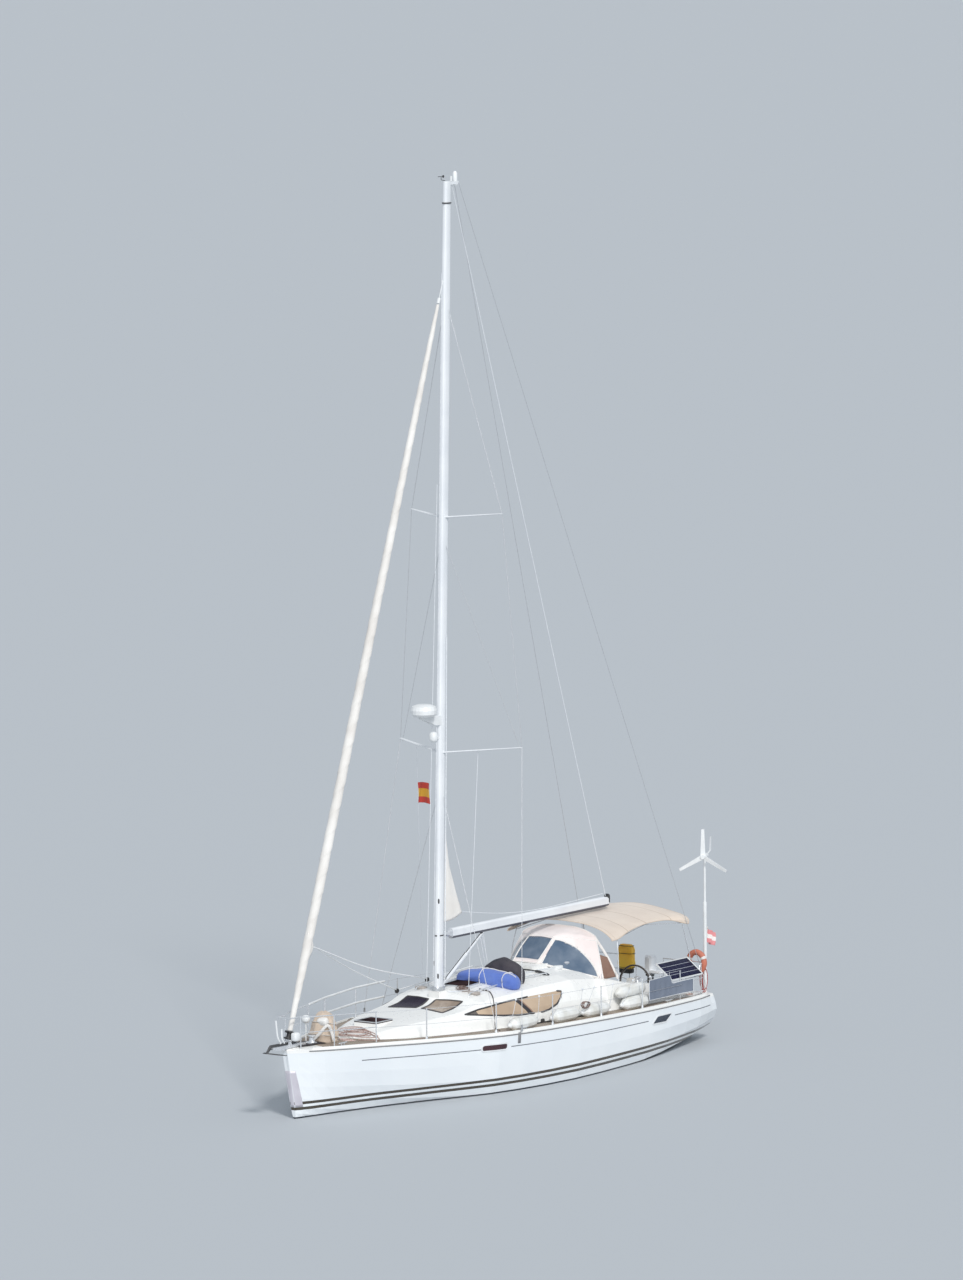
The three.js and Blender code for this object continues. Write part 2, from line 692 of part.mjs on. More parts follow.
const mastAndGap = mastSolid(GAP);
{
  const crane = block(mastX(MAST_HEAD) - 330, mastX(MAST_HEAD) + 60, -45, 45, MAST_HEAD - 70, MAST_HEAD - 5);
  const fittings = [...lugs(BOOM_BARREL.z, BOOM_BARREL.half), ...lugs(VANG_BARREL.z, VANG_BARREL.half)];
  place('mast', union(mastSolid(0), crane, ...fittings), alloy);
}

function spreaderTip(spreader, side) {
  const { root, half, sweep, rise } = spreader;
  return at(mastX(root) - sweep, side * half, root + rise);
}

function spreader(row, side) {
  const tip = spreaderTip(row, side);
  const root = at(mastX(row.root), 0, row.root);
  const rings = [[0, 75, 20], [0.5, 62, 16], [1, 42, 11]].map(([s, long, thick]) => {
    const middle = root.clone().lerp(tip, s);
    return Array.from({ length: 10 }, (_, k) => {
      const angle = (k / 10) * 2 * Math.PI;
      return middle.clone().add(at(long * Math.cos(angle), 0, thick * Math.sin(angle)));
    });
  });
  return solid(skin(rings)).subtract(mastAndGap);
}

const WIRE = 6;

function chainplate(side) {
  const { x, y, z } = SHROUD_FOOT;
  return block(x - 28, x + 28, side > 0 ? y - 6 : -y - 6, side > 0 ? y + 6 : -y + 6, z - 40, z + 95);
}

function backstay(side, radius) {
  return wire([at(mastX(MAST_HEAD) - 315, side * 52.5, MAST_HEAD - 40), at(-6080, side * 1480, 1000)], radius, 6);
}

for (const [word, side] of SIDES) {
  for (const [level, row] of Object.entries(SPREADERS)) {
    place(`spreader_${level}_${word}`, spreader(row, side), alloy);
  }
  const clear = side * (WIRE + 3);
  const upper = spreaderTip(SPREADERS.upper, side).add(at(0, clear, 0));
  const lower = spreaderTip(SPREADERS.lower, side).add(at(0, clear, 0));
  const { x, y, z } = SHROUD_FOOT;
  const cap = wire([at(mastX(HOUNDS), side * 20, HOUNDS), upper, lower, at(x, side * y, z + 60)], WIRE, 6);
  place(`cap_shroud_${word}`, onDeck(union(cap.subtract(mastAndGap), chainplate(side))), stainless);
  const foot = LOWER_SHROUD_FOOT;
  const under = at(mastX(5960), side * 20, 5960);
  const stay = wire([under, at(foot.x, side * foot.y, foot.z - 60)], WIRE, 6).subtract(mastAndGap);
  place(`lower_shroud_${word}`, onDeck(stay), stainless);
  place(`backstay_${word}`, onDeck(backstay(side, 5)), stainless);
}

// Forestay, furling gear and the furled headsail

const STAY_FOOT = at(6250, 0, 1480);
const STAY_HEAD = at(mastX(16050) + 100, 0, 16050);

function alongStay(height) {
  return STAY_FOOT.clone().lerp(STAY_HEAD, (height - STAY_FOOT.z) / (STAY_HEAD.z - STAY_FOOT.z));
}

{
  const roll = [1760, 2300, 3200, 5000, 9000, 13500, 15600];
  const thick = [55, 88, 100, 96, 84, 70, 45];
  place('furled_genoa', wireGeometry(roll.map(alongStay), thick, 12), sailcloth);
  const drum = [1582, 1592, 1612, 1622, 1696, 1706, 1734, 1744];
  const radii = [30, 95, 95, 50, 50, 95, 95, 30];
  place('furling_drum', wireGeometry(drum.map(alongStay), radii, 14), blackPlastic);
  const upper = wire([alongStay(15600 + GAP), alongStay(15700), alongStay(15701), STAY_HEAD], [35, 35, 8, 8], 8);
  place('forestay_head', upper.subtract(mastAndGap), stainless);
}

// Boom, vang and the corner of the mainsail

const BOOM_TOP = 3100;
const BOOM_BOTTOM = 2895;

function boomSection(x, half, bottom, top) {
  const corner = 30;
  return [
    at(x, half, bottom + corner), at(x, half, top - corner), at(x, half - corner, top),
    at(x, -half + corner, top), at(x, -half, top - corner), at(x, -half, bottom + corner),
    at(x, -half + corner, bottom), at(x, half - corner, bottom),
  ];
}

function boomSolid(grow) {
  return solid(skin([
    boomSection(880 + grow, 62 + grow, BOOM_BOTTOM + 5 - grow, BOOM_TOP + grow),
    boomSection(-4400, 62 + grow, BOOM_BOTTOM - 5 - grow, BOOM_TOP + grow),
    boomSection(BOOM_END, 58 + grow, BOOM_BOTTOM + 12 - grow, BOOM_TOP - 18 + grow),
  ]));
}

const boomAndGap = boomSolid(GAP);
place('boom', boomSolid(0), alloy);
{
  const casting = solid(skin([
    boomSection(880 + GAP, 60, BOOM_BOTTOM + 8, BOOM_TOP - 2),
    boomSection(985, 42, GOOSENECK.z - 52, GOOSENECK.z + 52),
    boomSection(GOOSENECK.x, 15, GOOSENECK.z - 40, GOOSENECK.z + 40),
  ]));
  const { z, radius, half } = BOOM_BARREL;
  place('gooseneck', union(casting, barrel(z, radius, half)), blackPlastic);
}

{
  const { z, radius, half } = VANG_BARREL;
  const foot = swingAxis(z);
  const head = at(-230, 0, BOOM_BOTTOM + 10);
  const along = (share) => foot.clone().lerp(head, share);
  const strut = wire([foot, along(0.06), along(0.08), along(0.56), along(0.57), head], [18, 18, 46, 46, 32, 32], 10);
  place('boom_vang', union(strut.subtract(boomAndGap), barrel(z, radius, half)), alloy);
}

{
  const outline = [[1035, 5110], [1094, 3250], [760, 3200], [490, 3370], [640, 3700], [900, 4350]];
  const outhaul = wire([at(510, 0, 3372), at(-420, 0, BOOM_TOP - 10)], 5, 6);
  const corner = solid(profileAcross(outline, -5, 5));
  place('mainsail_clew', union(corner, mainBody(outhaul.subtract(boomAndGap))), sailcloth);
}

// Guard rails

const RAIL = 12.5;
const LINE = 3.5;

function railTop(x) {
  return sheerHeight(x) + 640;
}

function deckEdge(x, side, z) {
  return at(leant(x, sheerHeight(x)), side * Math.max(deckHalf(x) - 95, 20), z);
}

function stanchion(x, side) {
  return wire([deckEdge(x, side, sheerHeight(x) - 10), deckEdge(x, side, railTop(x) + 5)], RAIL, 8);
}

const STANCHIONS = [3400, 1750, 100, -1550, -3100];

for (const [word, side] of SIDES) {
  const stations = [4430, 3900, ...STANCHIONS, -4720];
  const upper = wire(stations.map((x) => deckEdge(x, side, railTop(x) - 12)), LINE, 6);
  const posts = STANCHIONS.map((x) => stanchion(x, side));
  place(`guard_rail_${word}`, onDeck(union(upper, ...posts)), stainless);
}

{
  const half = [4450, 4800, 5250, 5600, 5800];
  const path = (lift) => {
    const port = half.map((x) => deckEdge(x, 1, railTop(x) + lift));
    const nose = at(6330, 150, railTop(5900) + lift);
    const starboard = [...port, nose].map((p) => at(p.x, -p.y, p.z)).reverse();
    return [...port, nose, ...starboard];
  };
  const top = wire(path(0), RAIL, 8);
  const middle = wire(path(-300).slice(0, 5), 9.3, 6);
  const middleStarboard = wire(path(-300).slice(-5), 9.3, 6);
  const legs = [];
  for (const [, side] of SIDES) {
    for (const x of [4480, 5250, 5790]) {
      const inner = x - 7;
      legs.push(wire([deckEdge(inner, side, sheerHeight(x) - 10), deckEdge(inner, side, railTop(x))], 11.1, 6));
    }
  }
  place('pulpit', onDeck(union(top, middle, middleStarboard, ...legs)), stainless);
}

function pushpit(side, grow) {
  const line = (z) => [
    at(-4740, side * 1690, z), at(-5300, side * 1610, z), at(-5750, side * 1520, z), at(-5920, side * 1420, z),
    at(-5960, side * 1250, z), at(-5960, side * 430, z),
  ];
  const top = wire(line(1660), RAIL + grow, 8);
  const middle = wire(line(1360), 9.3 + grow, 6);
  const feet = [line(0)[0], line(0)[2], at(-5960, side * 1000, 0), line(0)[5]];
  const posts = feet.map(({ x, y }) =>
    wire([at(x - 3, y - side * 2, 980), at(x - 3, y - side * 2, 1660)], 11.1 + grow, 6));
  return union(top, middle, ...posts);
}

for (const [word, side] of SIDES) {
  place(`pushpit_${word}`, onDeck(pushpit(side, 0)), stainless);
}

// What hangs on the stern rails is cut to them and to the backstays, with a gap.
function onStern(body) {
  const rails = union(pushpit(1, 2 * GAP), pushpit(-1, 2 * GAP), backstay(1, 5 + 2 * GAP), backstay(-1, 5 + 2 * GAP));
  return mainBody(body.subtract(rails));
}

// Bow fittings and what lies on the foredeck

{
  const cheek = (y0, y1) => solid(profileAcross([[5750, 1432], [5750, 1475], [6190, 1488], [6215, 1556], [6280, 1556],
    [6305, 1492], [6760, 1500], [6790, 1450], [6600, 1425], [6420, 1400], [6420, 1432]], y0, y1));
  const floor = block(5750, 6420, -75, 75, 1424, 1442);
  const roller = wire([at(6700, -66, 1467), at(6700, 66, 1467)], 26, 12);
  const bridge = block(6220, 6275, -66, 66, 1538, 1554);
  const eye = wire([alongStay(1550), alongStay(1582 - GAP)], 15, 10);
  const fitting = union(cheek(-75, -65), cheek(65, 75), floor, roller, bridge, eye);
  place('bow_roller', onDeck(fitting), stainless);
  const shank = solid(profileAcross([[5960, 1494], [5960, 1526], [6780, 1545], [6900, 1420], [6860, 1400],
    [6740, 1492.5]], -14, 14));
  const fluke = solid(skin([
    [at(6560, -240, 1330), at(6560, 240, 1330), at(6560, 240, 1345), at(6560, -240, 1345)],
    [at(6760, -200, 1360), at(6760, 200, 1360), at(6760, 200, 1375), at(6760, -200, 1375)],
    [at(6930, -25, 1395), at(6930, 25, 1395), at(6930, 25, 1425), at(6930, -25, 1425)],
  ]));
  place('anchor', union(shank, fluke).subtract(hullAndGap), galvanised);
}
{
  const base = block(5440, 5650, -110, 110, 1380, 1440);
  const capstan = solid(lathe([[0, 0], [75, 0], [55, 40], [50, 90], [72, 130], [60, 145], [0, 145]], 14)
    .translate(5540, 60, 1438));
  place('windlass', onDeck(union(base, capstan)), stainless);
}
// Rings of the folded canvas: [height, half length, half width].
const BAG = { x: 4990, y: -60 };
{
  const rings = [[1350, 240, 270], [1470, 270, 290], [1620, 260, 270], [1780, 215, 220], [1900, 160, 165],
    [1965, 70, 80]].map(([z, long, wide]) => Array.from({ length: 12 }, (_, k) => {
    const angle = (k / 12) * 2 * Math.PI;
    return at(BAG.x + long * Math.cos(angle), BAG.y + wide * Math.sin(angle), z);
  }));
  place('foredeck_bag', onDeck(solid(skin(rings))), tanCanvas);
}

// Canopies

// A cloth arch: half of it as [y, z] from the foot to the crown, mirrored.
function arch(x, half) {
  const port = half.map(([y, z, dx = 0]) => at(x + dx, y, z));
  const crown = port[port.length - 1];
  return [...port, ...port.slice(0, -1).map((p) => at(p.x, -p.y, p.z)).reverse()].map((p) => p.clone(), crown);
}

// A shell of even thickness between arches, thickened towards a line below the crown.
function canopy(arches, inward, thickness) {
  const rings = arches.map((outer) => {
    const inner = outer.map((p) => {
      const towards = at(inward.x(p), 0, inward.z).sub(p);
      return p.clone().add(towards.setLength(thickness));
    });
    return [...outer, ...inner.reverse()];
  });
  return solid(skin(rings, true));
}

// The sprayhood is a wedge in plan. Each section runs from its foot on the roof up the windscreen
// and back to the aft edge; from share 0 beside the middle to share 1 at the foot on the coaming.
const HOOD = {
  foot: [at(-1650, 290, 2090), at(-2690, 1215, 1690)],
  brow: [at(-2300, 290, 2592), at(-2855, 920, 2485)],
  edge: [at(-2920, 290, 2692), at(-2905, 650, 2666), at(-2878, 900, 2530)],
};

function hoodSection(share, side) {
  const foot = HOOD.foot[0].clone().lerp(HOOD.foot[1], share);
  if (share > 0.02 && share < 1) foot.z -= 90;
  const brow = HOOD.brow[0].clone().lerp(HOOD.brow[1], share);
  brow.z += 60 * share * (1 - share);
  const [near, bend, far] = HOOD.edge;
  const edge = near.clone().lerp(bend, share).lerp(bend.clone().lerp(far, share), share);
  const screen = foot.clone().lerp(brow, 0.5).add(at(18, 18, 12));
  const ridge = brow.clone().lerp(edge, 0.5).add(at(0, 0, 16 * (1 - share)));
  return [foot, screen, brow, ridge, edge].map((p) => at(p.x, side * p.y, p.z));
}

{
  const port = [1, 0.88, 0.72, 0.54, 0.36, 0.2, 0.08, 0].map((share) => hoodSection(share, 1));
  const middle = hoodSection(0, 0).map((p) => p.add(at(15, 0, 6)));
  const starboard = [0, 0.08, 0.2, 0.36, 0.54, 0.72, 0.88, 1].map((share) => hoodSection(share, -1));
  const shell = canopy([...port, middle, ...starboard], { x: (p) => p.x - 250, z: 1500 }, 14);
  place('sprayhood', onDeck(shell), sprayCanvas);
}

// The canopy's half section at each station; its hem is cut in a hollow curve between the corners.
const BIMINI = [
  { x: -2860, half: [[1310, 2480], [1270, 2540], [1050, 2670], [700, 2765], [350, 2800], [0, 2812]] },
  { x: -3100, half: [[1310, 2500], [1270, 2560], [1050, 2690], [700, 2785], [350, 2820], [0, 2832]] },
  { x: -3650, half: [[1225, 2600], [1190, 2626], [1030, 2700], [700, 2787], [350, 2822], [0, 2834]] },
  { x: -4300, half: [[1165, 2652], [1125, 2672], [1000, 2718], [700, 2790], [350, 2830], [0, 2840]] },
  { x: -5000, half: [[1200, 2640], [1175, 2662], [1060, 2712], [730, 2785], [350, 2835], [0, 2850]] },
  { x: -5450, half: [[1310, 2530], [1305, 2620], [1180, 2700], [776, 2776], [350, 2835], [0, 2856]] },
  { x: -5620, half: [[1310, 2500], [1300, 2590], [1160, 2670], [760, 2748], [350, 2806], [0, 2826]] },
];
place('bimini', canopy(BIMINI.map(({ x, half }) => arch(x, half)), { x: (p) => p.x, z: 1200 }, 12), beigeCanvas);
{
  const hoop = (row, x, feet) => {
    const port = BIMINI[row].half.map(([y, z]) => at(x, Math.min(y, 1290) * 0.988 - 8, z - 23.8));
    const whole = [...feet, ...port, ...port.slice(0, -1).map((p) => at(p.x, -p.y, p.z)).reverse(),
      ...feet.map((p) => at(p.x, -p.y, p.z)).reverse()];
    return wire(whole, 11, 8);
  };
  const fore = hoop(1, -3100, [at(-2990, 1390, 1400), at(-3060, 1320, 2200)]);
  const aft = hoop(5, -5450, [at(-5645, 1310, 960), at(-5645, 1310, 1850)]);
  const bars = SIDES.map(([, side]) =>
    wire([at(-3100, side * 1258, 2490), at(-4300, side * 1120, 2625), at(-5450, side * 1258, 2530)], 9, 6));
  place('bimini_frame', onDeck(union(fore, aft, ...bars)), stainless);
}

// Gear at the stern

{
  const panel = new THREE.BoxGeometry(1120, 500, 32);
  panel.rotateX(-Math.atan2(0.31, 0.4));
  panel.translate(-5040, 1462, 1640);
  const arms = [-5300, -4900].map((x) => wire([at(x, 1440, 1660), at(x, x < -5000 ? 1612 : 1668, 1660)], 9, 8));
  place('solar_panel', onStern(union(solid(panel), ...arms)), solarCells);
}
{
  const { x, y, top } = WIND_POLE;
  const lean = wire([at(x, y, 980), at(x, y, 2900), at(x, y, 2901), at(x, y, top)], [38, 38, 24, 24], 12);
  place('wind_pole', onDeck(lean), whitePlastic);
}
{
  const shaft = wire([at(0, 0, WIND_POLE.top - WIND_HUB_HEIGHT + GAP), at(0, 0, 0)], 24, 12);
  const shell = wire([at(110, 0, 0), at(60, 0, 0), at(-120, 0, 0), at(-240, 0, 10)], [48, 62, 55, 20], 12);
  const arm = wire([at(-200, 0, 5), at(-460, 0, 60)], 14, 8);
  const fan = solid(profileAcross([[-420, 30], [-470, 330], [-560, 340], [-540, 40]], -4, 4));
  const head = geometryOf(union(shaft, shell, arm, fan));
  head.rotateZ(WIND_YAW);
  head.translate(WIND_POLE.x, WIND_POLE.y, WIND_HUB_HEIGHT);
  place('wind_head', head, whitePlastic);
  const rotor = geometryOf(blades(3, WIND_ROTOR_RADIUS, 105, 60, 10, 45, 0.3));
  rotor.rotateX(Math.PI / 2);
  rotor.rotateZ(Math.PI / 2);
  rotor.translate(110 + 36 + 0.5, 0, 0);
  rotor.rotateZ(WIND_YAW);
  rotor.translate(WIND_POLE.x, WIND_POLE.y, WIND_HUB_HEIGHT);
  place('wind_rotor', rotor, whitePlastic);
}
{
  const cowl = solid(skin([
    boomSection(-5835, 55, 1330, 1670), boomSection(-5880, 82, 1290, 1705), boomSection(-6060, 80, 1290, 1690),
    boomSection(-6120, 52, 1340, 1630),
  ].map((ring) => ring.map((p) => at(p.x, p.y + 105, p.z)))));
  const leg = block(-6020, -5900, 65, 145, 1000, 1320);
  const clamp = block(-5975, -5830, 40, 428, 1345, 1400);
  place('outboard_motor', onStern(union(cowl, leg, clamp)), whitePlastic);
}
{
  const arc = Array.from({ length: 13 }, (_, k) => {
    const angle = THREE.MathUtils.degToRad(-60 + (k / 12) * 300);
    return at(-5895, 1310 + 190 * Math.cos(angle), 1665 + 205 * Math.sin(angle));
  });
  place('lifebuoy', onStern(wire(arc, 62, 8)).subtract(pushpit(1, 4 * GAP)), orangeFoam);
}
{
  const bag = solid(skin([
    boomSection(-5925, 165, 1400, 1880), boomSection(-5880, 190, 1380, 1900), boomSection(-5790, 190, 1380, 1900),
    boomSection(-5750, 160, 1410, 1870),
  ].map((ring) => ring.map((p) => at(p.x, p.y - 445, p.z)))));
  place('rescue_bag', onStern(bag.translate([-30, 0, 0])), yellowCloth);
}
place('ensign_staff', onDeck(wire([at(-6020, 1330, 990), at(-6260, 1330, 2320)], 14, 8)), whitePlastic);

// Radar

{
  const z = 7440;
  const x = mastX(z) + 590;
  const dome = solid(lathe([[0, 0], [200, 0], [255, 50], [262, 130], [235, 205], [140, 240], [0, 248]], 20)
    .translate(x, 0, z));
  const bracket = solid(profileAcross([[mastX(z) + 50, z - 210], [mastX(z) + 50, z - 30], [x + 100, z + 5],
    [x + 100, z - 40], [mastX(z) + 250, z - 210]], -60, 60));
  place('radar_dome', union(dome, bracket.subtract(mastAndGap)), whitePlastic);
}

// Helm and cockpit

for (const [word, side] of SIDES) {
  const rim = new THREE.TorusGeometry(WHEEL.radius, 14, 8, 32).rotateY(Math.PI / 2);
  const spokes = Array.from({ length: 5 }, (_, k) => {
    const angle = (k / 5) * 2 * Math.PI + Math.PI / 2;
    const end = at(0, WHEEL.radius * Math.cos(angle), WHEEL.radius * Math.sin(angle));
    return wire([at(0, 0, 0), end], 8, 6);
  });
  const shaft = wire([at(-30, 0, 0), at(WHEEL.x < 0 ? -4450 - GAP - WHEEL.x : 0, 0, 0)], 32, 12);
  const wheel = geometryOf(union(solid(rim), shaft, ...spokes));
  wheel.translate(WHEEL.x, side * WHEEL.y, WHEEL.z);
  place(`helm_wheel_${word}`, wheel, stainless);
}
{
  const top = block(-3750, -2650, -230, 230, 1190, 1230);
  const leg = union(block(-3650, -3570, -60, 60, SOLE_HEIGHT + GAP, 1195), block(-2830, -2750, -60, 60,
    SOLE_HEIGHT + GAP, 1195));
  place('cockpit_table', union(top, leg), teak);
}

// Fenders and the gear lashed on the roof

const FENDERS = [{ x: 830, y: 1730 }, { x: -580, y: 1740 }, { x: -1650, y: 1740 }, { x: -3090, y: 1700 }];
const FENDER_HALF = [
  [0, 475], [26, 472], [34, 430], [62, 405], [118, 330], [134, 230], [136, 0],
];
FENDERS.forEach(({ x, y }, index) => {
  const lower = FENDER_HALF.map(([radius, away]) => [radius, -away]);
  const fender = lathe([...lower, ...FENDER_HALF.slice(0, -1).reverse()], 12);
  fender.rotateY(Math.PI / 2);
  fender.translate(x, y, deckHeight(x, y) + 132);
  place(`fender_${index + 1}`, onDeck(solid(fender)), whitePlastic);
});

// A soft roll: rings of [x, y, half width, bottom, top] from one end to the other.
function bundle(rows) {
  return solid(skin(rows.map(([x, y, half, low, high]) => Array.from({ length: 12 }, (_, k) => {
    const angle = (k / 12) * 2 * Math.PI;
    const square = (value) => Math.sign(value) * Math.abs(value) ** 0.75;
    const up = (low + high) / 2 + ((high - low) / 2) * square(Math.sin(angle));
    return at(x + half * square(Math.cos(angle)), y, up);
  }))));
}

{
  const blue = bundle([
    [130, -330, 120, 1870, 2070], [130, -180, 190, 1860, 2150], [120, 120, 212, 1860, 2190],
    [100, 600, 215, 1840, 2190], [90, 900, 195, 1820, 2150], [90, 1070, 120, 1840, 2060],
  ]);
  const folded = bundle([
    [-270, 10, 110, 1880, 2190], [-280, 140, 190, 1860, 2290], [-290, 450, 215, 1850, 2390],
    [-290, 740, 200, 1840, 2320], [-290, 890, 120, 1880, 2190],
  ]);
  place('dinghy_bundle', onDeck(union(blue, folded)), blueCloth);
}

export default yacht;
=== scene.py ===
import math

import bpy
import numpy as np
from mathutils import Matrix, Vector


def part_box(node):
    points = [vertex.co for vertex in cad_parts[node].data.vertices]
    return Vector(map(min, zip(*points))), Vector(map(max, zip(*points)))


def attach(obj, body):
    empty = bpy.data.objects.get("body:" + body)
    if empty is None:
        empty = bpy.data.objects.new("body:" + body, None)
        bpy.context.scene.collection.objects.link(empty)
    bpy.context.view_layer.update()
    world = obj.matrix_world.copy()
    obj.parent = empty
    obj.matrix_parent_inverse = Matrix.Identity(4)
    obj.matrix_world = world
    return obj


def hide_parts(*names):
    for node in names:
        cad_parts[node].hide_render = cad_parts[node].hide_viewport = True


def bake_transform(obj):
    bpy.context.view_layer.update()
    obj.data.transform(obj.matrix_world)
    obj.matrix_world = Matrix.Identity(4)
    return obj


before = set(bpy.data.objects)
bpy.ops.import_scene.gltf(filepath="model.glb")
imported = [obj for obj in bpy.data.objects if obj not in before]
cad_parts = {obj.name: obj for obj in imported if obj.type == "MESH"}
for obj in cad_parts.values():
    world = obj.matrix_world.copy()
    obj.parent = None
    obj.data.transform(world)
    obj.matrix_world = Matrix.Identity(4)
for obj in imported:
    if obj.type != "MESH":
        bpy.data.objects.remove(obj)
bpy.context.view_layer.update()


# Camera, floor and lights.
# The camera stands on high ground off the port bow with a long lens; the floor is the pale studio
# floor at the waterline. A wide sun, a weak low one to fill the shade and a bright room light it.
CAMERA_PLACE = (111.003, 81.285, 23.186)
CAMERA_RIGHT = (-0.58921, 0.80794, -0.00846)
CAMERA_UP = (-0.08892, -0.05444, 0.99455)
CAMERA_BACK = (0.80307, 0.58675, 0.10392)
LENS = 194.6
FLOOR_REACH = 4000.0
FLOOR_COLOUR = (0.50, 0.53, 0.56, 1)
FLOOR_ROUGHNESS = 0.9
ROOM_COLOUR = (0.80, 0.87, 0.95, 1)
ROOM_STRENGTH = 0.60
SUNS = {  # strength, width in degrees, colour, turns about X and Z in degrees
    "sun": (1.95, 9, (1.0, 0.985, 0.96), (49, 143)),
    "fill": (0.75, 40, (1.0, 1.0, 1.0), (76, 126)),
}


def into_scene(thing):
    """Puts a new object into the scene."""
    bpy.context.scene.collection.objects.link(thing)
    return thing


camera = into_scene(bpy.data.objects.new("camera", bpy.data.cameras.new("camera")))
camera.data.lens = LENS
camera.data.sensor_width = 36
camera.data.clip_start = 1
camera.data.clip_end = 9000
axes = Matrix((CAMERA_RIGHT, CAMERA_UP, CAMERA_BACK)).transposed().to_4x4()
camera.matrix_world = Matrix.Translation(CAMERA_PLACE) @ axes
bpy.context.scene.camera = camera
bpy.context.scene.view_settings.view_transform = "Standard"

floor_mesh = bpy.data.meshes.new("floor")
corner = FLOOR_REACH * np.array([(-1, -1, 0), (1, -1, 0), (1, 1, 0), (-1, 1, 0)], float)
floor_mesh.from_pydata(corner.tolist(), [], [(0, 1, 2, 3)])
floor = into_scene(bpy.data.objects.new("floor", floor_mesh))
floor_finish = bpy.data.materials.new("floor")
floor_finish.use_nodes = True
floor_shader = floor_finish.node_tree.nodes["Principled BSDF"]
floor_shader.inputs["Base Color"].default_value = FLOOR_COLOUR
floor_shader.inputs["Roughness"].default_value = FLOOR_ROUGHNESS
floor_mesh.materials.append(floor_finish)

for name, (strength, width, colour, turns) in SUNS.items():
    sun = into_scene(bpy.data.objects.new(name, bpy.data.lights.new(name, "SUN")))
    sun.data.energy = strength
    sun.data.angle = math.radians(width)
    sun.data.color = colour
    sun.rotation_euler = (math.radians(turns[0]), 0, math.radians(turns[1]))

room = bpy.data.worlds.new("room")
room.use_nodes = True
background = room.node_tree.nodes["Background"]
background.inputs["Color"].default_value = ROOM_COLOUR
background.inputs["Strength"].default_value = ROOM_STRENGTH
bpy.context.scene.world = room


# Hull.
# A moulded glass-fibre shell in white gelcoat, with two dark boot stripes and a thin cove line
# painted on it, and dark antifouling from the waterline down.
GELCOAT = (0.86, 0.89, 0.91)
GELCOAT_SHADE = (0.78, 0.82, 0.86)
STRIPE = (0.060, 0.048, 0.035)
ANTIFOULING = (0.020, 0.028, 0.045)
COVE = (0.16, 0.17, 0.19)
BOOT_STRIPES = [(0.313, 0.029), (0.203, 0.030)]
COVE_LEVEL = 0.918
COVE_RISE, COVE_BEND, COVE_HALF = 0.0245, 0.0006, 0.010
COVE_RUNS = [(-5.90, -4.26), (-3.19, 1.42), (2.17, 4.85)]
ANTIFOULING_TOP = 0.035


def wear_group():
    """Shader group: two noises over Object coordinates vary a colour, a gloss and a fine relief."""
    group = bpy.data.node_groups.new("surface wear", "ShaderNodeTree")
    colour, number = "NodeSocketColor", "NodeSocketFloat"
    for name, kind in (("Colour", colour), ("Tint", colour), ("Scale", number), ("Amount", number),
                       ("Smoothest", number), ("Roughest", number)):
        group.interface.new_socket(name, in_out="INPUT", socket_type=kind)
    for name, kind in (("Colour", colour), ("Roughness", number), ("Relief", number)):
        group.interface.new_socket(name, in_out="OUTPUT", socket_type=kind)
    nodes, links = group.nodes, group.links
    given, put = nodes.new("NodeGroupInput"), nodes.new("NodeGroupOutput")
    place = nodes.new("ShaderNodeTexCoord")
    broad, fine = nodes.new("ShaderNodeTexNoise"), nodes.new("ShaderNodeTexNoise")
    broad.inputs["Detail"].default_value = 5
    fine.inputs["Detail"].default_value = 3
    finer = nodes.new("ShaderNodeMath")
    finer.operation = "MULTIPLY"
    finer.inputs[1].default_value = 14
    spread, gloss = nodes.new("ShaderNodeMapRange"), nodes.new("ShaderNodeMapRange")
    spread.inputs["From Min"].default_value = 0.38
    spread.inputs["From Max"].default_value = 0.66
    gloss.inputs["From Min"].default_value = 0.3
    gloss.inputs["From Max"].default_value = 0.7
    share = nodes.new("ShaderNodeMath")
    share.operation = "MULTIPLY"
    mix = nodes.new("ShaderNodeMix")
    mix.data_type = "RGBA"
    for start, end in (
        (place.outputs["Object"], broad.inputs["Vector"]), (place.outputs["Object"], fine.inputs["Vector"]),
        (given.outputs["Scale"], broad.inputs["Scale"]), (given.outputs["Scale"], finer.inputs[0]),
        (finer.outputs[0], fine.inputs["Scale"]), (broad.outputs["Fac"], spread.inputs["Value"]),
        (spread.outputs[0], share.inputs[0]), (given.outputs["Amount"], share.inputs[1]),
        (share.outputs[0], mix.inputs["Factor"]), (given.outputs["Colour"], mix.inputs["A"]),
        (given.outputs["Tint"], mix.inputs["B"]), (fine.outputs["Fac"], gloss.inputs["Value"]),
        (given.outputs["Smoothest"], gloss.inputs["To Min"]),
        (given.outputs["Roughest"], gloss.inputs["To Max"]),
        (mix.outputs["Result"], put.inputs["Colour"]), (gloss.outputs[0], put.inputs["Roughness"]),
        (fine.outputs["Fac"], put.inputs["Relief"]),
    ):
        links.new(start, end)
    return group


SURFACE_WEAR = wear_group()


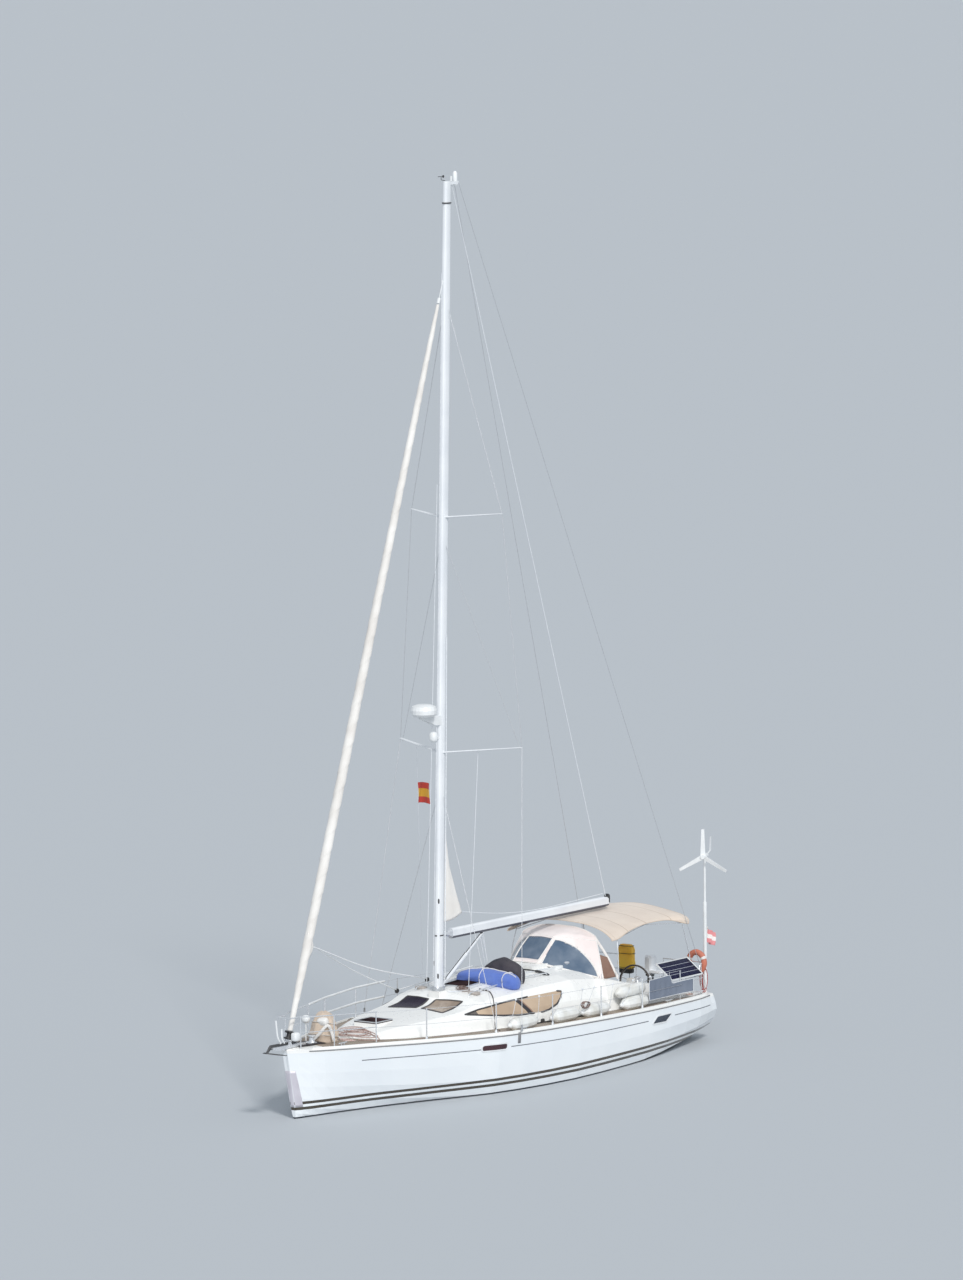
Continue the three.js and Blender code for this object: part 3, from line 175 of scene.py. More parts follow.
def finish(name, colour, tint, gloss, scale=2.0, amount=0.6, relief=0.0, **sockets):
    """Material: worn colour and gloss from the wear group; other numbers go on the shader's own sockets."""
    made = bpy.data.materials.new(name)
    made.use_nodes = True
    made.diffuse_color = (*colour, 1)
    nodes, links = made.node_tree.nodes, made.node_tree.links
    shader = nodes["Principled BSDF"]
    wear = nodes.new("ShaderNodeGroup")
    wear.name = "wear"
    wear.node_tree = SURFACE_WEAR
    for socket, value in (("Colour", (*colour, 1)), ("Tint", (*tint, 1)), ("Scale", scale),
                          ("Amount", amount), ("Smoothest", gloss[0]), ("Roughest", gloss[1])):
        wear.inputs[socket].default_value = value
    links.new(wear.outputs["Colour"], shader.inputs["Base Color"])
    links.new(wear.outputs["Roughness"], shader.inputs["Roughness"])
    if relief:
        bump = nodes.new("ShaderNodeBump")
        bump.name = "bump"
        bump.inputs["Distance"].default_value = relief
        links.new(wear.outputs["Relief"], bump.inputs["Height"])
        links.new(bump.outputs["Normal"], shader.inputs["Normal"])
    for socket, value in sockets.items():
        shader.inputs[socket.replace("_", " ")].default_value = value
    return made


def sums(made, operation, first, second=None):
    """Math node in a material; first and second are sockets or plain numbers."""
    node = made.node_tree.nodes.new("ShaderNodeMath")
    node.operation = operation
    for place, value in enumerate((first, second)):
        if isinstance(value, (int, float)):
            node.inputs[place].default_value = value
        elif value is not None:
            made.node_tree.links.new(value, node.inputs[place])
    return node.outputs[0]


def place_axes(made, source="Object", uv=None):
    """X, Y and Z sockets of a material's Object coordinates, or of a named UV map."""
    nodes, links = made.node_tree.nodes, made.node_tree.links
    split = nodes.new("ShaderNodeSeparateXYZ")
    if uv:
        chart = nodes.new("ShaderNodeUVMap")
        chart.uv_map = uv
        links.new(chart.outputs["UV"], split.inputs[0])
    else:
        links.new(nodes.new("ShaderNodeTexCoord").outputs[source], split.inputs[0])
    return split.outputs


def within(made, value, low, high):
    """1 where low < value < high, and 0 elsewhere."""
    above = sums(made, "GREATER_THAN", value, low)
    below = sums(made, "LESS_THAN", value, high)
    return sums(made, "MULTIPLY", above, below)


def paint(made, mask, colour):
    """Lays another colour over a material's base colour where the mask is 1."""
    nodes, links = made.node_tree.nodes, made.node_tree.links
    base = nodes["Principled BSDF"].inputs["Base Color"]
    mix = nodes.new("ShaderNodeMix")
    mix.data_type = "RGBA"
    links.new(mask, mix.inputs["Factor"])
    links.new(base.links[0].from_socket, mix.inputs["A"])
    mix.inputs["B"].default_value = (*colour, 1)
    links.new(mix.outputs["Result"], base)


def dress(finish_made, *names):
    """Gives CAD nodes a material in their own slots."""
    for name in names:
        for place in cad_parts[name].material_slots:
            place.material = finish_made


topsides = finish("hull gelcoat", GELCOAT, GELCOAT_SHADE, (0.10, 0.22), 0.7, 0.5, Coat_Weight=0.4)
along, across, height = place_axes(topsides)
bend = sums(topsides, "MULTIPLY", sums(topsides, "MULTIPLY", along, along), COVE_BEND)
climb = sums(topsides, "MULTIPLY", along, COVE_RISE)
level = sums(topsides, "SUBTRACT", sums(topsides, "SUBTRACT", height, bend), climb)
for run_low, run_high in COVE_RUNS:
    line = within(topsides, level, COVE_LEVEL - COVE_HALF, COVE_LEVEL + COVE_HALF)
    paint(topsides, sums(topsides, "MULTIPLY", line, within(topsides, along, run_low, run_high)), COVE)
for centre, half in BOOT_STRIPES:
    paint(topsides, within(topsides, height, centre - half, centre + half), STRIPE)
paint(topsides, sums(topsides, "LESS_THAN", height, ANTIFOULING_TOP), ANTIFOULING)
dress(topsides, "hull")

bottom = finish("antifouling", ANTIFOULING, (0.05, 0.06, 0.075), (0.55, 0.8), 1.6, 0.7, 0.002)
dress(bottom, "keel", "rudder")
leg_paint = finish("saildrive housing", (0.30, 0.32, 0.34), (0.2, 0.21, 0.22), (0.35, 0.5), 5.0, 0.6)
dress(leg_paint, "saildrive_leg")
bronze = finish("propeller bronze", (0.52, 0.34, 0.13), (0.25, 0.22, 0.12), (0.22, 0.45), 12.0, 0.7,
                Metallic=1.0)
dress(bronze, "propeller")


# Hull windows, guard plate on the stem, rubbing strip and chainplates.
# Long acrylic lights glued into white rims moulded in the topsides; a stainless sheet bent round the
# stem takes the anchor's knocks; a grey strip covers the joint of hull and deck; bars hold the shrouds.
DECK_X = np.arange(-6.0, 6.01, 0.5)
DECK_HALF = np.array([
    1.642, 1.722, 1.790, 1.851, 1.907, 1.953, 1.985, 2.011, 2.033, 2.050, 2.059, 2.056, 2.034,
    1.997, 1.950, 1.888, 1.778, 1.636, 1.481, 1.317, 1.127, 0.922, 0.716, 0.479, 0.097])
SHEER = np.array([
    1.019, 1.029, 1.040, 1.052, 1.065, 1.079, 1.093, 1.109, 1.126, 1.143, 1.159, 1.173, 1.185,
    1.197, 1.210, 1.224, 1.239, 1.255, 1.272, 1.289, 1.307, 1.326, 1.346, 1.366, 1.384])
HULL_LIGHTS = {
    "saloon": [(1.530, 0.950), (1.530, 1.015), (1.570, 1.045), (2.130, 1.062),
               (2.170, 1.035), (2.170, 0.962), (2.130, 0.930), (1.570, 0.913)],
    "aft_cabin": [(-4.135, 0.875), (-4.105, 0.895), (-3.570, 0.905), (-3.520, 0.890),
                  (-3.350, 0.775), (-3.375, 0.755), (-3.875, 0.738), (-3.905, 0.750)],
}
LIGHT_RIM = 0.020
GUARD_LOW, GUARD_HIGH, GUARD_BACK = 0.24, 0.97, (0.150, 0.085)
STEM_FOOT, STEM_LEAN = 6.04, 0.212
RUBBING_STRIP, STRIP_BELOW = 0.013, 0.035
CHAINPLATE = (1.21, 0.036, 1.00, 1.215)  # middle, half width, low and high edge
CHAINPLATE_LIFT, CHAINPLATE_STRAIGHT = 0.008, 0.06  # off the hull, and how far the bar may follow it inward
OUTSIDE, MISSED_OUTSIDE = 2.6, 2.4  # points set out beside the boat, and the reach of those that met nothing
ABOVE, MISSED_ABOVE = 3.0, 2.9  # the same over the deck
SIDES = (("port", 1), ("starboard", -1))


def piece(name, parts, body, made, sharp=35.0):
    """Mesh object from (points, faces) arrays placed end to end, smooth but for edges over an angle."""
    start = np.cumsum([0] + [len(points) for points, _ in parts])
    mesh = bpy.data.meshes.new(name)
    faces = [row for (_, faces), first in zip(parts, start)
             for block in faces for row in (block + first).tolist()]
    mesh.from_pydata(np.concatenate([points for points, _ in parts]).tolist(), [], faces)
    mesh.shade_smooth()
    mesh.set_sharp_from_angle(angle=math.radians(sharp))
    mesh.materials.append(made)
    mesh.validate()
    placed = into_scene(bpy.data.objects.new(name, mesh))
    if body:
        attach(placed, body)
    return placed


def outward(points, faces):
    """Turns a closed body's faces round if its volume, the sum of its corner products, comes out negative."""
    flat = np.concatenate([block[:, [0, i, i + 1]] for block in faces for i in range(1, block.shape[1] - 1)])
    a, b, c = points[flat[:, 0]], points[flat[:, 1]], points[flat[:, 2]]
    volume = (a * np.cross(b, c)).sum()
    return points, [block[:, ::-1] for block in faces] if volume < 0 else faces


def loft(rings):
    """Closed body through rings of points (n, m, 3), each end closed by a fan to a point at its middle."""
    rings = np.asarray(rings, float)
    n, m = rings.shape[:2]
    here = np.arange(n * m).reshape(n, m)
    ahead = np.roll(here, -1, 1)
    walls = np.stack([here[:-1], ahead[:-1], ahead[1:], here[1:]], -1).reshape(-1, 4)
    first = np.stack([ahead[0], here[0], np.full(m, n * m)], -1)
    last = np.stack([here[-1], ahead[-1], np.full(m, n * m + 1)], -1)
    points = np.concatenate([rings.reshape(-1, 3), rings[0].mean(0)[None], rings[-1].mean(0)[None]])
    return outward(points, [walls, np.concatenate([first, last])])


def curve(points, count):
    """Smooth line through points: each stretch is the Catmull-Rom cubic of its four nearest points."""
    p = np.asarray(points, float)
    p = np.concatenate([2 * p[:1] - p[1:2], p, 2 * p[-1:] - p[-2:-1]])
    t = np.linspace(0, len(p) - 3, count)
    i = np.minimum(t.astype(int), len(p) - 4)
    t = (t - i)[:, None]
    a, b, c, d = p[i], p[i + 1], p[i + 2], p[i + 3]
    return 0.5 * (2 * b + (c - a) * t + (2 * a - 5 * b + 4 * c - d) * t ** 2
                  + (3 * b - a - 3 * c + d) * t ** 3)


def round_angles(count):
    """Angles spaced evenly round a circle."""
    return np.linspace(0, 2 * np.pi, count, endpoint=False)


def tube(path, radius, sides=8, flatten=1.0, turn=0.0):
    """Round bar along a path: circles square to the way, radius one number or one for each point."""
    path = np.asarray(path, float)
    way = np.gradient(path, axis=0)
    way /= np.linalg.norm(way, axis=1)[:, None]
    flat = np.linalg.svd(path - path.mean(0), full_matrices=False)[2][-1]
    side = np.cross(way, flat)
    side /= np.linalg.norm(side, axis=1)[:, None]
    rise = np.cross(side, way)
    angle = round_angles(sides) + turn
    wide = np.broadcast_to(np.asarray(radius, float), (len(path),))[:, None, None]
    ring = (np.cos(angle)[None, :, None] * side[:, None]
            + flatten * np.sin(angle)[None, :, None] * rise[:, None])
    return loft(path[:, None] + wide * ring)


def hoop(ring, radius, sides=8, flatten=1.0):
    """Round bar along a closed line, its two ends lapped over each other."""
    return tube(np.concatenate([ring, ring[:2]]), radius, sides, flatten)


def power(value, by):
    """The size of a value raised to a power, with the value's sign."""
    return np.sign(value) * np.abs(value) ** by


def pillow(centre, half, square=0.5, rows=13, columns=20, lean=None):
    """Rounded block: x, y, z = a cos^s u cos^s v, b cos^s u sin^s v, c sin^s u, with powers that keep
    their sign."""
    u = np.clip(np.linspace(-np.pi / 2, np.pi / 2, rows), -1.54, 1.54)[:, None]
    v = round_angles(columns)[None, :]
    flat = power(np.cos(u), square)
    x, y, z = (flat * power(np.cos(v), square), flat * power(np.sin(v), square),
               power(np.sin(u), square) + 0 * v)
    points = np.stack([x, y, z], -1) * np.asarray(half, float)
    if lean is not None:
        points = points @ np.asarray(Matrix.Rotation(math.radians(lean[0]), 3, lean[1])).T
    return loft(points + np.asarray(centre, float))


def mirrored(parts):
    """The same parts on the starboard side: y turned round, and the faces with it."""
    return [(points * (1, -1, 1), [block[:, ::-1] for block in faces]) for points, faces in parts]


def settle(points, target, way, lift=0.0):
    """Grid of points carried along a way until they meet a CAD node's surface, then lifted off it."""
    points = np.asarray(points, float)
    scratch = bpy.data.meshes.new("scratch")
    scratch.from_pydata(points.reshape(-1, 3).tolist(), [], [])
    probe = into_scene(bpy.data.objects.new("scratch", scratch))
    wrap = probe.modifiers.new("settle", "SHRINKWRAP")
    wrap.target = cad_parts[target]
    wrap.wrap_method = "PROJECT"
    wrap.wrap_mode = "ABOVE_SURFACE"
    wrap.offset = lift
    wrap.use_project_x, wrap.use_project_y, wrap.use_project_z = (bool(part) for part in way)
    wrap.use_positive_direction = sum(way) > 0
    wrap.use_negative_direction = sum(way) < 0
    met = probe.evaluated_get(bpy.context.evaluated_depsgraph_get()).to_mesh()
    found = np.empty(points.size)
    met.vertices.foreach_get("co", found)
    bpy.data.objects.remove(probe)
    bpy.data.meshes.remove(scratch)
    return found.reshape(points.shape)


def drop(points, target, lift=0.0):
    """The points let down on a CAD node, then lifted off it."""
    return settle(points, target, (0, 0, -1), lift)


def press(points, target, hand, lift=0.0):
    """The points carried inward against a CAD node, from port (hand 1) or starboard (hand -1)."""
    return settle(points, target, (0, -hand, 0), lift)


def highest(points, targets, lift):
    """Height at each point of the highest of several CAD nodes below it, 0 where there is none."""
    levels = [drop(points, target, lift)[..., 2] for target in targets]
    return np.max([np.where(level < MISSED_ABOVE, level, 0) for level in levels], 0)


def outermost(points, hand, lift=0.0):
    """Distance from the middle plane of the hull or deck moulding beside each point, or 0 without one."""
    reaches = [np.abs(press(points, target, hand, lift)[..., 1]) for target in ("hull", "deck_moulding")]
    return np.max([np.where(reach < MISSED_OUTSIDE, reach, 0) for reach in reaches], 0)


def thickened(plate, thickness):
    """A sheet gets its thickness on both sides of its grid."""
    wall = plate.modifiers.new("thickness", "SOLIDIFY")
    wall.thickness = thickness
    wall.offset = 0.0
    return plate


def panel(name, grid, thickness, body, made, chart=None):
    """Thin plate on a grid of points (rows, columns, 3), with a UV chart of its rows and columns, or of
    given metres."""
    rows, columns = grid.shape[:2]
    here = np.arange(rows * columns).reshape(rows, columns)
    faces = np.stack([here[:-1, :-1], here[1:, :-1], here[1:, 1:], here[:-1, 1:]], -1).reshape(-1, 4)
    plate = piece(name, [(grid.reshape(-1, 3), [faces])], body, made, 60)
    if chart is None:
        chart = np.stack(np.meshgrid(np.linspace(0, 1, rows), np.linspace(0, 1, columns), indexing="ij"), -1)
    corners = np.empty(len(plate.data.loops), int)
    plate.data.loops.foreach_get("vertex_index", corners)
    plate.data.uv_layers.new(name="chart").data.foreach_set("uv", chart.reshape(-1, 2)[corners].ravel())
    return thickened(plate, thickness)


def patch(corners, rows, columns):
    """Bilinear grid between four corners in order round the patch."""
    a, b, c, d = (np.asarray(corner, float) for corner in corners)
    u, v = np.meshgrid(np.linspace(0, 1, rows), np.linspace(0, 1, columns), indexing="ij")
    u, v = u[..., None], v[..., None]
    return (1 - u) * ((1 - v) * a + v * d) + u * ((1 - v) * b + v * c)


def even(outline, count):
    """Points spaced evenly round a closed outline."""
    ring = np.concatenate([outline, outline[:1]])
    run = np.concatenate([[0], np.cumsum(np.linalg.norm(np.diff(ring, axis=0), axis=1))])
    at = np.linspace(0, run[-1], count, endpoint=False)
    return np.stack([np.interp(at, run, ring[:, k]) for k in range(ring.shape[1])], -1)


light_glass = {
    "saloon": finish("hull window glass", (0.050, 0.028, 0.036), (0.12, 0.060, 0.070), (0.20, 0.30), 3.0, 0.7,
                     Specular_IOR_Level=0.2),
    "aft_cabin": finish("aft window glass", (0.034, 0.042, 0.060), (0.075, 0.090, 0.115), (0.20, 0.30),
                        3.0, 0.7, Specular_IOR_Level=0.2),
}
window_rim = finish("hull window rim", (0.80, 0.82, 0.84), (0.6, 0.6, 0.6), (0.2, 0.35), 5.0, 0.4)
for side, hand in SIDES:
    for light, outline in HULL_LIGHTS.items():
        ring = even(np.array(outline), 64)
        middle = ring.mean(0)
        shares = np.linspace(0, 1, 7)[:, None, None]
        flat = middle + (ring - middle) * np.maximum(shares, 0.02)
        grid = np.stack([flat[..., 0], np.full(flat.shape[:2], OUTSIDE * hand), flat[..., 1]], -1)
        grid = press(np.concatenate([grid, grid[:, :1]], 1), "hull", hand, 0.004)
        glass = light_glass[light]
        panel(f"hull_light_{light}_{side}", grid[:, ::hand], 0.006, "yacht_body", glass)
        edge = press(np.stack([ring[:, 0], np.full(64, OUTSIDE * hand), ring[:, 1]], -1), "hull", hand, 0.002)
        rim = [hoop(edge, LIGHT_RIM, 8, 0.45)]
        piece(f"hull_light_rim_{light}_{side}", rim, "yacht_body", window_rim)

steel = finish("polished stainless", (0.80, 0.82, 0.85), (0.62, 0.64, 0.67), (0.16, 0.32), 9.0, 0.6,
               Metallic=0.6)
# The stem plate's steel is tinted lilac: painted reflection on the bright stainless.
stem_plate_steel_painted_reflection = finish("guard plate steel with painted reflection", (0.70, 0.67, 0.73), (0.60, 0.56, 0.62), (0.30, 0.45), 4.0, 0.7,
                     Metallic=0.35)
levels = np.linspace(GUARD_LOW, GUARD_HIGH, 14)
stem = STEM_FOOT + STEM_LEAN * levels
back = np.linspace(*GUARD_BACK, 14)[:, None] * np.linspace(1, 0.1, 12)[None, :]
flank = np.stack([stem[:, None] - back, np.full((14, 12), 1.5), np.repeat(levels[:, None], 12, 1)], -1)
port_flank = press(flank, "hull", 1, 0.004)
nose_y = np.repeat(np.linspace(0.03, -0.03, 5)[None], 14, 0)
nose = np.stack([np.full((14, 5), 7.0), nose_y, np.repeat(levels[:, None], 5, 1)], -1)
nose = settle(nose, "hull", (-1, 0, 0), 0.006)
guard = np.concatenate([port_flank, nose, (port_flank * (1, -1, 1))[:, ::-1]], 1)
panel("stem_guard_plate", guard[:, ::-1], 0.004, "yacht_body", stem_plate_steel_painted_reflection)

strip = finish("rubbing strip", (0.20, 0.20, 0.21), (0.30, 0.30, 0.30), (0.4, 0.6), 6.0, 0.6)
strip_x = np.linspace(-5.95, 5.98, 90)
edge = np.stack([strip_x, np.full(90, OUTSIDE), np.interp(strip_x, DECK_X, SHEER) - STRIP_BELOW], -1)
edge[:, 1] = outermost(edge, 1)
strips = [tube(edge[edge[:, 1] > 0.02], RUBBING_STRIP, 6)]
piece("rubbing_strip", strips + mirrored(strips), "yacht_body", strip)
x, half, low_edge, high_edge = CHAINPLATE
bar = patch([(x + ahead * half, OUTSIDE, level) for ahead, level in
             ((-1, low_edge), (1, low_edge), (1, high_edge), (-1, high_edge))], 9, 5)
for side, hand in SIDES:
    reach = outermost(bar * (1, hand, 1), hand, CHAINPLATE_LIFT)
    grid = press(bar * (1, hand, 1), "hull", hand, CHAINPLATE_LIFT)
    grid[..., 1] = np.maximum(reach, reach.max() - CHAINPLATE_STRAIGHT) * hand
    panel(f"chainplate_{side}", grid[:, ::hand], 0.008, "yacht_body", strip)


# Deck, coachroof and cockpit moulding.
# One glass-fibre moulding in warm white gelcoat: smooth at its edges and sides, with a pimpled
# non-slip finish on its level faces, bonded to the hull along the sheer.
ROOF_WHITE = (0.88, 0.88, 0.86)
ROOF_SHADE = (0.83, 0.82, 0.80)
NON_SLIP_SIZE = 120.0
NON_SLIP_RELIEF = 0.00012
LEVEL_ENOUGH = 0.93  # upward part of the normal from which a face counts as level
roof_finish = finish("deck gelcoat", ROOF_WHITE, ROOF_SHADE, (0.26, 0.34), 0.6, 0.15)
nodes, links = roof_finish.node_tree.nodes, roof_finish.node_tree.links
pimples = nodes.new("ShaderNodeTexVoronoi")
pimples.inputs["Scale"].default_value = NON_SLIP_SIZE
links.new(nodes.new("ShaderNodeTexCoord").outputs["Object"], pimples.inputs["Vector"])
upward = place_axes(roof_finish, "Normal")[2]
level_faces = sums(roof_finish, "GREATER_THAN", upward, LEVEL_ENOUGH)
grip = nodes.new("ShaderNodeBump")
grip.inputs["Distance"].default_value = NON_SLIP_RELIEF
links.new(sums(roof_finish, "MULTIPLY", level_faces, pimples.outputs["Distance"]), grip.inputs["Height"])
links.new(grip.outputs["Normal"], nodes["Principled BSDF"].inputs["Normal"])
dress(roof_finish, "deck_moulding", "coachroof", "cockpit")


# Teak on the side decks and foredeck.
# Strips of teak about 50 mm wide, 8 mm thick, bent along the deck's edge, glued down and caulked
# with black rubber in the seams; grey-brown from sun and salt.
TEAK = (0.43, 0.335, 0.255)
TEAK_BLEACHED = (0.58, 0.50, 0.42)
CAULKING = (0.025, 0.022, 0.02)
PLANK = 0.052
SEAM = 0.10
TEAK_LIFT = 0.005
DECK_TOP = 1.6  # higher than any point of the side decks
ROOF_FOOT = np.array([
    1.520, 1.520, 1.520, 1.520, 1.530, 1.535, 1.540, 1.545, 1.540, 1.530, 1.515, 1.500, 1.470,
    1.440, 1.400, 1.320, 1.235, 1.130, 1.000, 0.860, 0.600, 0.020, 0.010, 0.010, 0.010])


def teak(name, across_grain=1, plank=PLANK):
    """Material: planks along one axis of a chart in metres, grain as stretched noise, black seams between."""
    made = finish(name, TEAK, TEAK_BLEACHED, (0.5, 0.75), 1.4, 0.9)
    nodes, links = made.node_tree.nodes, made.node_tree.links
    run = place_axes(made, uv="chart")
    planks = sums(made, "DIVIDE", run[across_grain], plank)
    share, number = sums(made, "FRACT", planks), sums(made, "FLOOR", planks)
    grain = nodes.new("ShaderNodeTexNoise")
    stretch = nodes.new("ShaderNodeCombineXYZ")
    links.new(sums(made, "MULTIPLY", run[1 - across_grain], 4.0), stretch.inputs[0])
    links.new(sums(made, "MULTIPLY", run[across_grain], 120.0), stretch.inputs[1])
    links.new(sums(made, "MULTIPLY", number, 3.7), stretch.inputs[2])
    links.new(stretch.outputs[0], grain.inputs["Vector"])
    grain.inputs["Scale"].default_value = 1.0
    tone = nodes.new("ShaderNodeMix")
    tone.data_type = "RGBA"
    tone.blend_type = "MULTIPLY"
    tone.inputs["Factor"].default_value = 0.55
    base = nodes["Principled BSDF"].inputs["Base Color"]
    links.new(base.links[0].from_socket, tone.inputs["A"])
    links.new(grain.outputs["Color"], tone.inputs["B"])
    links.new(tone.outputs["Result"], base)
    paint(made, sums(made, "LESS_THAN", share, SEAM), CAULKING)
    return made


teak_deck = teak("laid teak")
deck_x = np.linspace(-5.6, 5.55, 140)
outer = np.interp(deck_x, DECK_X, DECK_HALF) - 0.060
inner = np.minimum(np.interp(deck_x, DECK_X, ROOF_FOOT) + 0.03, outer - 0.03)
y = outer[:, None] + (inner - outer)[:, None] * np.linspace(0, 1, 9)[None, :]
for side, hand in SIDES:
    grid = np.stack([np.repeat(deck_x[:, None], 9, 1), y * hand, np.full(y.shape, ABOVE)], -1)
    grid = drop(grid, "deck_moulding", TEAK_LIFT)
    off_deck = grid[..., 2] > DECK_TOP
    grid[..., 2] = np.where(off_deck, np.interp(grid[..., 0], DECK_X, SHEER) + 0.02, grid[..., 2])
    chart = np.stack([grid[..., 0], (outer[:, None] - y)], -1)
    panel(f"teak_deck_{side}", grid[:, ::hand], 0.008, "yacht_body", teak_deck, chart[:, ::hand])


# Saloon windows, hatches and handrails of the coachroof.
# Tinted acrylic glued flush into the moulding with a black masked edge; opening hatches have
# alloy rims; stainless handrails stand on short feet, through-bolted.
SIDE_WINDOW = np.array([
    (1.830, 1.566), (1.400, 1.624), (0.700, 1.680), (-0.100, 1.710), (-0.900, 1.712), (-1.060, 1.694),
    (-0.980, 1.590), (-0.760, 1.480), (-0.480, 1.405), (-0.250, 1.385), (0.500, 1.415), (1.200, 1.488)])
TAN_GLASS = (0.56, 0.43, 0.31)
TAN_GLASS_DEEP = (0.42, 0.31, 0.22)
MASKED_EDGE = (0.035, 0.032, 0.035)
DARK_CORNER = 1.50  # the window's dark forward corner begins here
POST_BEHIND, POST_LIT_EDGE, POST_SLANT = (-1.08, -0.95), (-1.12, -1.08), -0.80  # slanting post behind glass
FRONT_WINDOW = [(1.97, 0.075, ABOVE), (1.52, 0.090, ABOVE), (1.43, 0.680, ABOVE), (2.09, 0.665, ABOVE)]
ROOF_HATCH = (0.52, 0.27)  # middle and half side
HANDRAIL = [(1.20, 0.66), (0.65, 0.70), (-0.25, 0.73), (-0.82, 0.77), (-1.25, 0.84)]
HANDRAIL_RISE, HANDRAIL_FEET = 0.055, (9, 20, 31)

tan_glass = finish("saloon window glass", TAN_GLASS, TAN_GLASS_DEEP, (0.06, 0.12), 0.9, 0.8)
along, across, height = place_axes(tan_glass)
slant = sums(tan_glass, "ADD", along, sums(tan_glass, "MULTIPLY", height, POST_SLANT))
paint(tan_glass, sums(tan_glass, "GREATER_THAN", along, DARK_CORNER), (0.13, 0.115, 0.105))
paint(tan_glass, within(tan_glass, slant, *POST_BEHIND), MASKED_EDGE)
paint(tan_glass, within(tan_glass, slant, *POST_LIT_EDGE), (0.30, 0.19, 0.14))
dress(tan_glass, "side_window_port", "side_window_starboard")
# The starboard front window's glass is painted near black: painted shade on the same glass as the port one.
front_glass_painted_shade = finish("front window glass in painted shade", (0.020, 0.016, 0.030), (0.050, 0.040, 0.060), (0.25, 0.35),
                    2.5, 0.8, Specular_IOR_Level=0.05)
black_trim = finish("black window trim", MASKED_EDGE, (0.07, 0.065, 0.065), (0.3, 0.5), 8.0, 0.6)
outline = even(SIDE_WINDOW, 110)
for side, hand in SIDES:
    ring = np.stack([outline[:, 0], np.full(110, 2.5 * hand), outline[:, 1]], -1)
    ring = press(ring * (0.994, 1, 1), "side_window_" + side, hand, 0.006)
    missed = np.abs(ring[:, 1]) > MISSED_OUTSIDE
    ring[missed] = press(ring[missed], "coachroof", hand, 0.006)
    trim = [hoop(ring[np.abs(ring[:, 1]) < MISSED_OUTSIDE], 0.017, 8, 0.4)]
    piece(f"side_window_edge_{side}", trim, "yacht_body", black_trim)
# The port front window's glass is painted tan: painted light on the same glass as the starboard one.
lit_glass = finish("front window lit glass", (0.42, 0.33, 0.25), (0.25, 0.19, 0.145), (0.12, 0.20), 2.2, 0.9)
for side, hand, glass in (("port", 1, lit_glass), ("starboard", -1, front_glass_painted_shade)):
    corners = np.array(FRONT_WINDOW) * (1, hand, 1)
    grid = drop(patch(corners, 12, 14), "coachroof", 0.005)
    panel(f"front_window_{side}", grid[:, ::-hand], 0.006, "yacht_body", glass)
    rim = [hoop(drop(even(corners, 60), "coachroof", 0.004), 0.024, 8, 0.4)]
    piece(f"front_window_edge_{side}", rim, "yacht_body", black_trim)

hatch_acrylic = finish("smoked hatch acrylic", (0.016, 0.012, 0.014), (0.085, 0.050, 0.052), (0.40, 0.50),
                       2.0, 0.8, Specular_IOR_Level=0.0)
dress(hatch_acrylic, "fore_hatch", "drop_board", "companion_hatch")
alloy = finish("anodised alloy", (0.60, 0.62, 0.64), (0.48, 0.50, 0.53), (0.25, 0.42), 3.0, 0.6,
               Metallic=0.55)
x, half = ROOF_HATCH
square = np.array([(x + ahead * half, out * half, ABOVE)
                   for ahead, out in ((1, -1), (1, 1), (-1, 1), (-1, -1))])
grid = drop(patch(square, 9, 9), "coachroof", 0.020)
panel("roof_hatch_lid", grid[:, ::-1], 0.020, "yacht_body", hatch_acrylic)
rim = drop(even(square, 48), "coachroof", 0.012)
piece("roof_hatch_rim", [hoop(rim, 0.020, 8, 0.8)], "yacht_body", alloy)
low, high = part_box("fore_hatch")
rim = even(np.array([(low.x, low.y), (high.x, low.y), (high.x, high.y), (low.x, high.y)]), 48)
rim = drop(np.column_stack([rim * 0.985 + 0.015 * rim.mean(0), np.full(48, ABOVE)]), "fore_hatch")
piece("fore_hatch_rim", [hoop(rim, 0.016, 8, 0.7)], "foredeck_hatch", alloy)

foot = drop(curve([(x, y, ABOVE) for x, y in HANDRAIL], 40), "coachroof")
bar = foot + np.array((0, 0, HANDRAIL_RISE))
bar[[0, -1]] = foot[[0, -1]]
rails = [tube(bar, 0.012, 8)]
for at in HANDRAIL_FEET:
    rails.append(tube(np.array([foot[at] - (0, 0, 0.004), bar[at]]), 0.010, 8))
piece("coachroof_handrails", rails + mirrored(rails), "yacht_body", steel)


# Mast, spreaders, boom and standing rigging.
# Anodised alloy extrusions; the mainsail rolls up inside the mast through a slot along its back.
# The wires are stainless, with swaged ends; bands, lights and the wind vane are fixed to the mast.
MAST_FOOT, MAST_RAKE = (1.300, 1.905), 0.0323
MAST_LONG, MAST_WIDE = 0.119, 0.076  # half axes of the mast's oval, with a band round it
SLOT_BEHIND, SLOT_HALF = 0.085, 0.012
BAND_LEVELS, BAND_HALF = (3.010, 17.570), 0.012
COLLAR_STEPS = [(1.00, 0.0), (1.0, 0.035), (0.86, 0.055), (0.80, 0.075)]
EXITS = ((1, 2.20), (-1, 2.45), (1, 3.70))
# height under which the boom's lower faces are painted dark: painted shade
BOOM_SHADE_LEVEL = 2.948
WIRE = 0.0055
LINE = 0.006


def mast_at(level, ahead=0.0):
    """Point on the mast's middle line at a height, moved ahead of it."""
    return np.array((MAST_FOOT[0] - MAST_RAKE * (level - MAST_FOOT[1]) + ahead, 0.0, level))


